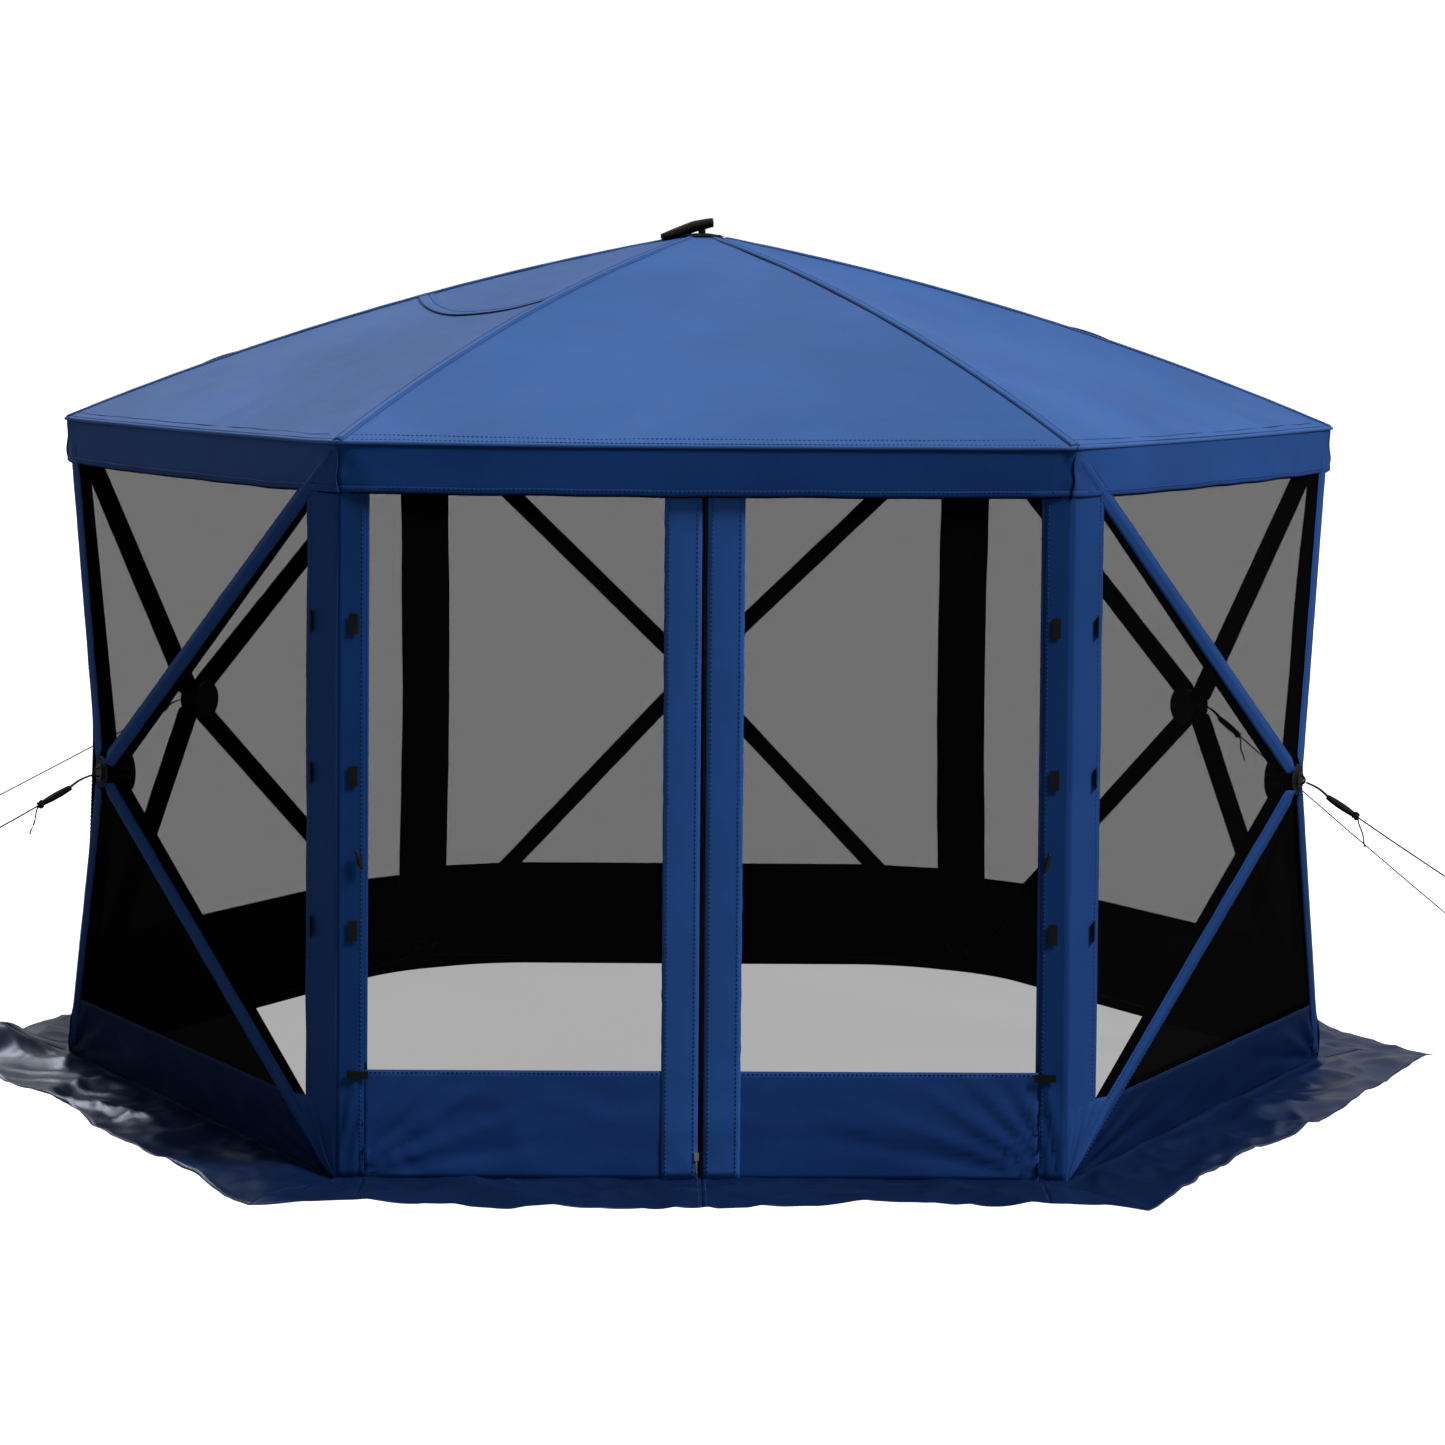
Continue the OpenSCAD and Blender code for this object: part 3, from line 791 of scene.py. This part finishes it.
def gore_base(k, u, t):
    """A gore's cloth without folds: u from one ridge to the next, t from the eave to the peak."""
    r = lerp(CANOPY_R, ROOF_HOLE_R, t)
    p = lerp(turn(60 * k, (r, 0, 0)), turn(60 * (k + 1), (r, 0, 0)), u)
    across = 4 * u * (1 - u)
    hollow = 0.026 * across * sin(pi * min(1, t * 1.05)) + 0.004 * across * (1 - t) ** 3
    return Vector((p.x, p.y, roof_h(r) - hollow))


def gore_point(k, u, t):
    """The cloth with its tension folds, along the ridges and fanning from the eave's corners."""
    p = gore_base(k, u, t)
    seed = 3.1 * k
    edge = min(u, 1 - u)
    z = 0.0050 * max(0.0, 1 - edge * 5) * noise.noise(Vector((u * 5, t * 26, seed))) * min(1, 10 * edge)
    slant = Vector(((u if u < 0.5 else 1 - u) * 16 - t * 7, t * 5, seed + (7 if u < 0.5 else 11)))
    z += 0.0060 * max(0.0, 1 - t * 3.5) * noise.noise(slant) * min(1, t * 30) * min(1, 12 * edge)
    z += 0.0060 * ripple(p, 1.6, seed) * sin(pi * u) * sin(pi * t)
    fold = crease((p.x * 0.8 + p.y * 0.5, p.y * 1.3 - p.x * 0.6, seed), 2.1)
    z += 0.0026 * fold * sin(pi * u) * min(1, 5 * t) * (1 - t)
    return p + UP * z


def make_canopy():
    """One continuous curved cloth over the six ridges, with its hem."""
    canopy = Cloth()
    for k in range(6):
        rows = weave(44, 56, lambda u, v: gore_point(k, u, v))
        canopy.add(rows, UP)
        out = outward(60 * k + 30)
        profile = ((0, 0), (-0.0015, 0.0030), (-0.0045, 0.0034), (-0.0080, 0.0026), (-0.0090, 0.0010))
        canopy.add(edging(rows[0], out, profile), out)
        canopy.stitch([p + UP * 0.0003 for p in rows[1][::3]], UP)
        canopy.stitch([p - out * 0.006 + UP * 0.003 for p in rows[0][1:-1:3]], UP)
    piece = canopy.make("canopy_cloth", ROOF, LINING, 0.0018, stands_for="canopy")
    declare(piece, 3.53, 3.06, rests=["roof_hub"], share=0.86)
    roof_blend(piece)


def ridge_line(k, t, side, rise):
    r = lerp(CANOPY_R, ROOF_HOLE_R, t)
    return turn(60 * k, (r, side, roof_h(r) + rise - 0.14 * abs(side)))


# A ridge seam across, as (sideways, height above the cloth).
SEAM_PROFILE = ((-0.014, 0.0002), (-0.010, 0.0026), (0, 0.0034), (0.010, 0.0026), (0.014, 0.0002))


def make_ridges():
    """The folded seam over each ridge, with two rows of stitches."""
    for k in range(6):
        seams = Cloth()
        rows = []
        for j in range(81):
            t = lerp(0.003, 0.975, j / 80)
            rows.append([ridge_line(k, t, side, rise + 0.0006 * noise.noise(Vector((j * 0.4, side, k))))
                         for side, rise in SEAM_PROFILE])
        seams.add(rows, UP)
        for i in (1, 3):
            seams.stitch([row[i] + UP * 0.0004 for row in rows], UP)
        piece = seams.make("ridge_seam_" + CORNERS[k], ROOF, LINING, 0.001)
        declare(piece, 0.030, 1.84)
        roof_blend(piece)


def pole_path(k):
    """A roof pole: an arc from its corner joint up to the roof hub."""
    ball, tip = turn(60 * k, (EAVE_R - 0.05, 0, EAVE_H - 0.002)), turn(60 * k, (ROOF_TIP_R, 0, TIP_H))
    middle, half = (ball + tip) / 2, (tip - ball).length / 2
    arc_r = (half ** 2 + ROOF_POLE_RISE ** 2) / (2 * ROOF_POLE_RISE)
    up = (tip - ball).cross(turn(60 * k, (0, 1, 0))).normalized()
    up = up if up.z > 0 else -up
    path = []
    for j in range(49):
        on_chord = lerp(ball, tip, j / 48)
        rise = sqrt(arc_r ** 2 - (on_chord - middle).length ** 2) - arc_r + ROOF_POLE_RISE
        path.append(on_chord + up * rise)
    return path


def make_roof_pole(k):
    """A roof pole in the black sleeve under its ridge."""
    path = pole_path(k)
    radii = [BALL_R] + [POLE_R] * 45 + [FERRULE_R] * 3
    pole = tube("roof_rod_" + CORNERS[k], path, radii, POLE,
                stands_for="roof_pole_" + CORNERS[k])
    side = turn(60 * k, (0, 1, 0))
    round_pole = [2 * pi * i / 16 for i in range(17)]
    rows = []
    for j in range(2, 46):
        puff = 1 + 0.10 * noise.noise(Vector((j * 0.7, k, 0)))
        rows.append([path[j] + puff * (side * 0.016 * cos(a) + UP * 0.010 * sin(a)) for a in round_pole])
    sleeve = Cloth(rows, lambda q: q - min(path, key=lambda c: (c - q).length), 2)
    piece = sleeve.make("roof_sleeve_" + CORNERS[k], LINING, LINING, 0.001)
    declare(piece, 0.085, 1.55, rests=["roof_pole_" + CORNERS[k]])
    # The poles lie lower than the cloth.
    for part in (pole, piece):
        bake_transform(part)


def make_vent():
    """The curved flap edge sewn across one roof panel, high up."""
    def point(s, v):
        u = lerp(0.01, 0.99, s)
        t = 0.560 - 0.050 * sin(pi * u) + 0.028 * v
        lift = 0.0034 * (1 - v) ** 1.5 * sin(pi * u) ** 0.5 + 0.0016
        return gore_point(VENT_GORE, u, t) + UP * lift

    rows = weave(48, 6, point)
    flap = Cloth(rows, UP)
    flap.stitch([p + UP * 0.0003 for p in rows[4]], UP)
    piece = flap.make("vent_flap", ROOF, LINING, 0.0016)
    declare(piece, 0.80, 0.050)
    roof_blend(piece)


def make_roof_loops():
    """Short webbing loops sewn beside the two side ridges, on the back panels."""
    for name, k, u, t0, t1 in (("left", 2, 0.955, 0.19, 0.28), ("right", 0, 0.045, 0.335, 0.43)):
        rows = []
        for j in range(17):
            t, arch = lerp(t0, t1, j / 16), 0.012 * sin(pi * j / 16) ** 0.5 + 0.003
            rows.append([gore_point(k, u + (i - 2) * 0.010, t) + UP * arch for i in range(5)])
        loop = Cloth(rows, UP)
        piece = loop.make("roof_loop_" + name, WEBBING, WEBBING, 0.002)
        declare(piece, 0.05, 0.17)
        roof_blend(piece)


def make_peak():
    """The padded pull strap, folded over to one side of the peak, on its round patch."""
    above = lambda r, rise: roof_h(max(r, ROOF_HOLE_R)) + rise
    steps = [j / 32 for j in range(33)]
    path = []
    for t in steps:
        x = lerp(-0.112, 0.030, t)
        path.append(Vector((x, 0.006 * sin(3 * t) - 0.010, above(abs(x), 0.009) + 0.026 * t ** 1.4)))
    radii = [0.0250 * (0.35 + 0.65 * sin(pi * (0.04 + 0.80 * t)) ** 0.5) for t in steps]
    strap = tube("peak_strap", path, radii, WEBBING, "roof_hub", "roof_strap",
                 sides=24, flat=0.62, side_axis=UP)

    def point(u, v):
        r = lerp(0.008, 0.062, v)
        return turn(360 * u, (r, 0, above(r, 0.0045)))

    rows = weave(48, 5, point)
    cloth = Cloth(rows, UP)
    cloth.stitch([p + UP * 0.0003 for p in rows[-2]], UP)
    piece = cloth.make("peak_patch", WEBBING, LINING, 0.0018, "roof_hub")
    declare(piece, 0.125, 0.125, share=0.77)


make_canopy()
make_ridges()
for k in range(6):
    make_roof_pole(k)
make_vent()
make_roof_loops()
make_peak()


# -------- valance
def dart(side, v):
    """The pinched folds that fan down from a valance's upper corners, from 0 to 1."""
    from_corner = (1 - abs(side)) * EAVE_R / 2
    spread = from_corner / (0.012 + 0.075 * v)
    return max(0.0, sin(pi * spread)) * exp(-1.3 * spread) * 1.6 if spread < 3 else 0.0


HEM_PROFILE = ((0.013, 0.0010), (0.0125, 0.0020), (0.001, 0.0024), (-0.0025, 0.0), (0.001, -0.0035))
BINDING_PROFILE = ((0.003, -0.0060), (-0.0058, -0.0052), (-0.0064, -0.0075))


def make_valance(k):
    """The hanging strip below the eave: it flares where a hub pushes the wall out under it."""
    angle = 60 * k + 30
    flare = 0.012 if angle == FRONT else 0.036
    out = outward(angle)

    def point(u, v):
        side = 2 * u - 1
        pinch = max(0.0, 1 - (1 - abs(side)) / 0.040)
        n = 0.0095 + flare * v * (1 - 0.75 * abs(side) ** 6) - 0.012 * pinch * pinch * v
        n += 0.0034 * ripple((side * 3.6, v * 1.2, k * 3.0), 1.0) * v
        n += 0.0045 * pinch * sin(14 * abs(side) + 9 * v) * v
        n -= 0.0070 * dart(side, v)
        sag = 0.004 * (1 - side * side) + 0.0026 * ripple((side * 5.5, 0, k * 5.0), 1.0)
        z = EAVE_H - 0.0015 - VALANCE_H * v - sag * v
        return turn(angle, (apothem_at(z) + n, side * (half_at(z) + 0.004 + 0.004 * v), z))

    rows = weave(96, 14, point)
    cloth = Cloth(rows, out)
    cloth.add(edging(rows[-1], out, HEM_PROFILE), out)
    cloth.stitch([p + out * 0.0026 + UP * 0.0095 for p in rows[-1][::3]], out)
    cloth.add(edging(rows[-1], out, BINDING_PROFILE), out, 2)
    # The front valance takes the darker copy of the trim cloth, which is painted shade.
    piece = cloth.make("valance_" + CORNERS[k], SHADED_FRONT_TRIM if angle == FRONT else TRIM, LINING, 0.0016,
                       "root", "valance")
    declare(piece, WALL_CLOTH_W, VALANCE_H + 0.032)


for k in range(6):
    make_valance(k)


# -------- front wall and door
def front_point(n, u, z):
    return wall_point(FRONT, n, u, z)


FRONT_OUT = outward(FRONT)
LEAF_TOP = EAVE_H - DOOR_HEAD_H


def front_folds(p):
    corners = [turn(FRONT + 30 * s, (BASE_R, 0, 0.01)) for s in (-1, 1)]
    return kick_folds(p, corners, 9.0, 0.0050)


def make_front_bands():
    """The front wall's own cloth: a band beside each corner, and the strip over the door."""
    cloth = Cloth()
    for side in (-1, 1):
        def beside_corner(u, v):
            z = lerp(0.006, EAVE_H - CLOTH_EDGE, v)
            p = front_point(0, side * (half_at(z) - lerp(0.0, DOOR_BAND_W, u)), z)
            fold = front_folds(p) if z < KICK_H else 0.0016 * ripple(p, 5, side)
            return p + (FRONT_OUT * (0.0024 + fold) if u else outward(FRONT + 30 * side) * CORNER_LIFT)

        rows = weave(7, 64, beside_corner)
        cloth.add(rows, FRONT_OUT)
        cloth.stitch([row[6] + FRONT_OUT * 0.0004 for row in rows[2:-3]], FRONT_OUT)
    head = [[front_point(0.001, lerp(-1, 1, i / 60) * (half_at(z) - 0.01), z) for i in range(61)]
            for z in (LEAF_TOP + 0.003, LEAF_TOP + 0.02, LEAF_TOP + 0.04, EAVE_H - CLOTH_EDGE)]
    cloth.add(head, FRONT_OUT)
    # The front wall's bands take the darker copy of the trim cloth, which is painted shade.
    piece = cloth.make("front_bands", SHADED_FRONT_TRIM, LINING, 0.0015, "root", "corner_bands")
    declare(piece, 0.118, 2 * EAVE_H / 1.40)


def leaf_edge(z):
    return half_at(z) - DOOR_HINGE


def make_leaf_net(side, body):
    def point(s, v):
        z = lerp(KICK_H - 0.01, LEAF_TOP, v)
        p = front_point(-0.0015, side * lerp(0.09, leaf_edge(z), s), z)
        return p + FRONT_OUT * 0.004 * ripple(p, 2.5, side) * sin(pi * s) * sin(pi * v)

    net = Cloth(weave(20, 30, point), FRONT_OUT)
    piece = net.make("door_net_" + SIDES[side], NET, NET, 0.0005, body, body)
    declare(piece, 0.73, 1.47)


def make_leaf_band(side, body):
    """The band beside the zip, which follows the kick panel's folds at its foot."""
    def point(s, v):
        z = lerp(DOOR_FOOT, LEAF_TOP, v)
        ragged = 0.0022 * noise.noise(Vector((z * 55, side * 4.0, 0))) if s > 0.8 else 0
        p = front_point(0.0034, side * (ZIP_GAP[side] + DOOR_BAND * s + ragged), z)
        over_kick = front_folds(p) * min(1, max(0.0, (KICK_H - z) / 0.03))
        return p + FRONT_OUT * (0.0012 * sin(pi * s) + 0.0014 * ripple(p, 4, side) + over_kick)

    rows = weave(8, 80, point)
    band = Cloth(rows, FRONT_OUT)
    for i in (1, 7):
        band.stitch([row[i] + FRONT_OUT * 0.0006 for row in rows], FRONT_OUT)
    piece = band.make("door_band_" + SIDES[side], DOOR_TRIM, LINING, 0.0015, body, body)
    declare(piece, DOOR_BAND, LEAF_CLOTH_H)


def make_leaf_cloth(side, body):
    """A door leaf's other solid cloth: the kick panel, the hinge hem and the head."""
    inner = ZIP_GAP[side]

    def on_kick(s, v):
        z = lerp(0.010, KICK_H, v)
        p = front_point(0.0012, side * lerp(inner, leaf_edge(z), s), z)
        return p + FRONT_OUT * front_folds(p) * (1 - (z / KICK_H) ** 6)

    kick = weave(60, 16, on_kick)
    hem = []
    for j in range(61):
        z = lerp(KICK_H, LEAF_TOP, j / 60)
        hem.append([front_point(0.0010, side * (leaf_edge(z) - w), z) for w in (0.0, 0.005, 0.011)])
    head = [[front_point(0.0012, side * lerp(inner, leaf_edge(z), i / 30), z) for i in range(31)]
            for z in (LEAF_TOP - 0.035, LEAF_TOP - 0.018, LEAF_TOP)]
    cloth = Cloth(kick, FRONT_OUT)
    cloth.stitch([p + FRONT_OUT * 0.0006 - UP * 0.006 for p in kick[-1][::2]], FRONT_OUT)
    cloth.add(hem, FRONT_OUT)
    cloth.add(head, FRONT_OUT)
    piece = cloth.make("door_cloth_" + SIDES[side], KICK, LINING, 0.0015, body, body)
    declare(piece, 0.82, KICK_H, share=0.99)


def make_zip(side, body):
    """Half of the zip: its tape and its row of teeth."""
    reach = ZIP_GAP[side]
    lap = (-0.0020, -0.0034) if side < 0 else (0.0002, -0.0012)
    profile = (lap, (reach * 0.5, -0.0012), (reach + 0.010, 0.0004))
    tape = Cloth()
    rows = [[front_point(n, side * u, lerp(DOOR_FOOT, LEAF_TOP, j / 60)) for u, n in profile]
            for j in range(61)]
    tape.add(rows, FRONT_OUT, 2)
    piece = tape.make("zip_tape_" + SIDES[side], LINING, LINING, 0.001, body)
    declare(piece, reach + 0.010, LEAF_CLOTH_H)
    teeth = []
    for k in range(int(1.70 / ZIP_PITCH)):
        z = 0.016 + ZIP_PITCH * (k + (0.5 if side > 0 else 0))
        teeth.append((front_point(0.0006, side * 0.0016, z), FRONT_OUT * 0.0011,
                      turn(FRONT, (0, 0.0017, 0)), UP * 0.0010))
    blocks("zip_teeth_" + SIDES[side], teeth, PLASTIC, body, 0.0003)


def make_door(side):
    body = "door_" + SIDES[side]
    make_leaf_net(side, body)
    make_leaf_band(side, body)
    make_leaf_cloth(side, body)
    make_zip(side, body)


make_front_bands()
make_door(-1)
make_door(1)


# -------- tabs and toggles
def tab(place, angle, width=0.022, height=0.050):
    """A flat webbing tab, as the centre and three half axes that blocks() takes."""
    return place, turn(angle, (0.0011, 0, 0)), turn(angle, (0, width / 2, 0)), UP * (height / 2)


def make_tabs():
    """Webbing tabs and toggles that tie the rolled-up door leaves back."""
    tabs = []
    for side in (-1, 1):
        for z in TAB_LEVELS:
            tabs.append(tab(front_point(0.007, side * (half_at(z) - 0.036), z + 0.025), FRONT))
            # The hub walls' tabs stand on cloth that leans out towards the hub.
            angle = FRONT + 60 * side
            reach = 0.085 / half_at(z) * PEAK_OUT
            place = wall_point(angle, reach + 0.0095, -side * (half_at(z) - 0.085), z + 0.025)
            tabs.append(tab(place, angle + side * 16))
        place = front_point(0.010, side * (half_at(KICK_H) - 0.050), KICK_H - 0.012)
        tabs.append(tab(place, FRONT, 0.052, 0.020))
    blocks("tie_tabs", tabs, WEBBING, "root", 0.0006, "fastening_tabs")
    across = turn(FRONT, (0, 1, 0))
    for side in (-1, 1):
        place = front_point(0.0155, side * (half_at(TOGGLE_H) - 0.052), TOGGLE_H)
        tilt = (UP * 0.95 + across * side * 0.3).normalized()
        path = [place + tilt * lerp(-0.024, 0.024, j / 16) for j in range(17)]
        radii = [0.0054 * (0.55 + 0.45 * sin(pi * (0.08 + 0.84 * j / 16)) ** 0.5) for j in range(17)]
        tube("toggle_" + SIDES[side], path, radii, PLASTIC, "root", sides=14)
        ring = [place - FRONT_OUT * (0.002 + 0.006 * abs(cos(a))) + across * 0.006 * cos(a)
                + UP * 0.014 * sin(a) for a in (2 * pi * j / 20 for j in range(21))]
        tube("toggle_cord_" + SIDES[side], ring, 0.0011, ROPE, "root", sides=8)


make_tabs()


# -------- ground skirt
SEAM_H = 0.013           # height of the seam where the skirt and the wall's cloth meet
SKIRT_STEPS = 22
FLAP_H, FLAP_SPREAD = 0.075, 0.040      # the skirt's corner that stands up at the left


def skirt_height(p, v):
    """Height of the skirt's folds: it turns out of the wall, buckles, and lifts here and there."""
    azimuth = atan2(p.y, p.x)
    ring = (BASE_R * cos(azimuth), BASE_R * sin(azimuth), 0.35 * v)
    h = 0.024 * crease(ring, 3.1, 4.0) + 0.010 * crease(ring, 8.0, 7.0)
    h += 0.010 * max(0.0, ripple(p, 6.5, 2.0)) + 0.004 * max(0.0, ripple(p, 17, 6.0))
    lifted = 0.034 * max(0.0, ripple(ring, 1.7, 12.0)) * v * v
    flap = FLAP_H * exp(-((abs(azimuth) - pi) / FLAP_SPREAD) ** 2) * min(1, 1.6 * v)
    turned = SEAM_H * max(0.0, 1 - v / 0.07) ** 2
    return 0.003 + turned + h * min(1, 0.15 + 3 * v) * (1 - 0.45 * v) + lifted + flap


def skirt_row(angle, u_inner, u_outer):
    """One line of the skirt, from under the wall's cloth to its outer edge."""
    row = []
    for j in range(SKIRT_STEPS + 1):
        v = j / SKIRT_STEPS
        u = lerp(u_inner, u_outer, v)
        p = turn(angle, (BASE_R * cos(pi / 6) + lerp(-0.002, SKIRT_W, v), u, 0))
        wander = 0.050 * ripple((p.x, p.y, 0), 1.9, 3.0) + 0.016 * ripple((p.x, p.y, 0), 7.0, 5.0)
        p += p.normalized() * (wander - 0.004) * v * v
        row.append(Vector((p.x, p.y, skirt_height(p, v))))
    return row


def skirt_grid(angle, a, b, cols=150):
    """a and b are the two ends' (inner, outer) places along the wall."""
    steps = [i / cols for i in range(cols + 1)]
    return [skirt_row(angle, lerp(a[0], b[0], t), lerp(a[1], b[1], t)) for t in steps]


def make_skirts():
    """The cloth on the ground outside, a part on each wall, and the front part's two leaves."""
    half = BASE_R / 2
    outer, hinge = half + SKIRT_W * tan(pi / 6), half - DOOR_HINGE
    root = Cloth()
    for angle in HUB_WALLS.values():
        root.add(skirt_grid(angle, (-half, -outer), (half, outer)), UP)
    for side in SIDES:
        root.add(skirt_grid(FRONT, (side * hinge, side * hinge), (side * half, side * outer), 16), UP)
    piece = root.make("skirt_cloth", SKIRT, SKIRT, 0.0012, "root", "ground_skirt")
    declare(piece, 9.65, SKIRT_W, held="laid", share=0.98)
    for side, name in SIDES.items():
        leaf = Cloth()
        rows = skirt_grid(FRONT, (0.0, 0.0), (side * hinge, side * hinge), 90)
        leaf.add(rows, UP)
        leaf.stitch([p + UP * 0.0004 for p in rows[1]], UP, pitch=0.007, length=0.004)
        body = "door_" + name
        piece = leaf.make("door_skirt_" + name, SKIRT, SKIRT, 0.0012, body, body)
        declare(piece, 0.80, SKIRT_W, held="laid")


SILL_ENDS = (-52, 232)                  # azimuths between which it lies


def make_sills():
    """The black cloth on the ground inside, round the hub walls, with rounded corners."""
    first, last = SILL_ENDS
    rows = []
    for i in range(241):
        azimuth = lerp(first, last, i / 240)
        off = (azimuth + 30) % 60 - 30
        wall = cos(pi / 6) / cos(radians(30 - abs(off)))
        outer = BASE_R * wall - 0.002
        end = min(1, max(0.0, min(azimuth - first, last - azimuth)) / 26)
        rounding = 0.9 * SILL_W * max(0.0, (wall - 0.92) / 0.08) ** 1.5
        inner = outer - (0.35 * SILL_W + rounding) * (1 - (1 - end) ** 2) - 0.004
        row = []
        for j in range(11):
            v = j / 10
            p = turn(azimuth, (lerp(outer, inner, v * v), 0, 0))
            h = 0.0035 + SEAM_H * max(0.0, 1 - v / 0.25) + 0.004 * max(0, ripple(p, 6, 3)) * sin(pi * v)
            row.append(Vector((p.x, p.y, h)))
        rows.append(row)
    sill = Cloth(rows, UP, 2)
    piece = sill.make("inner_ground_strip", LINING, LINING, 0.0012, "root", "ground_skirt")
    declare(piece, 7.4, 0.6 * SILL_W, held="laid")


make_skirts()
make_sills()


# -------- parts carried over from the frame
def finish_cad_parts():
    """Materials for the frame's own hubs, joints, feet and zip slider."""
    for name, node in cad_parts.items():
        if name == "zip_slider":
            material = METAL
        elif name.startswith("wall_hub") or name in ("roof_hub", "top_corner_joints", "corner_feet"):
            material = PLASTIC
        else:
            continue
        node.data.materials.clear()
        node.data.materials.append(material)


finish_cad_parts()


# -------- floor and light
# Strengths of the backdrop for diffuse, glossy and camera rays, and of the floor for camera rays.
SKY_LIGHT, SKY_SHINE, SKY_SEEN, FLOOR_GLOW = 0.22, 0.38, 1.02, 1.32


def make_stage():
    """A plain pale floor, which the camera sees as white."""
    mesh = bpy.data.meshes.new("floor")
    s = 60.0
    mesh.from_pydata([(-s, -s, 0), (s, -s, 0), (s, s, 0), (-s, s, 0)], [], [(0, 1, 2, 3)])
    ground = add_object("floor", mesh)
    pale = Nodes("floor", (0.22, 0.22, 0.22), 0.9, Specular_IOR_Level=0.1)
    pale.vary_colour(pale.noise(0.6, 2), 0.99, 1.01)
    pale.shader.inputs["Emission Color"].default_value = (1, 1, 1, 1)
    seen = pale.add("ShaderNodeMath", operation="MULTIPLY")
    pale.link(pale.add("ShaderNodeLightPath").outputs["Is Camera Ray"], seen.inputs[0])
    seen.inputs[1].default_value = FLOOR_GLOW
    pale.link(seen.outputs[0], pale.shader.inputs["Emission Strength"])
    mesh.materials.append(pale.material)


def make_world():
    """A white backdrop that itself gives only a little light, and shines on glossy cloth."""
    world = bpy.data.worlds.new("studio")
    world.use_nodes = True
    tree = world.node_tree
    backdrop = tree.nodes["Background"]
    backdrop.inputs["Color"].default_value = (1.0, 1.0, 1.0, 1)
    rays = tree.nodes.new("ShaderNodeLightPath")
    strength = None
    for ray, low, high in (("Is Glossy Ray", SKY_LIGHT, SKY_SHINE), ("Is Camera Ray", None, SKY_SEEN)):
        spread = tree.nodes.new("ShaderNodeMapRange")
        spread.inputs["To Max"].default_value = high
        if strength:
            tree.links.new(strength, spread.inputs["To Min"])
        else:
            spread.inputs["To Min"].default_value = low
        tree.links.new(rays.outputs[ray], spread.inputs["Value"])
        strength = spread.outputs[0]
    tree.links.new(strength, backdrop.inputs["Strength"])
    bpy.context.scene.world = world


def make_sun(name, azimuth, elevation, power, softness):
    """A soft light from far off. Its three angles are in degrees."""
    data = bpy.data.lights.new(name, "SUN")
    data.energy, data.angle = power, radians(softness)
    light = add_object(name, data)
    toward = turn(azimuth, (cos(radians(elevation)), 0, sin(radians(elevation))))
    light.rotation_euler = toward.to_track_quat("Z", "Y").to_euler()


make_stage()
make_world()
make_sun("key", 335, 50, 3.9, 16)
make_sun("rim", 120, 45, 1.2, 25)
bpy.context.scene.view_settings.view_transform = "Standard"
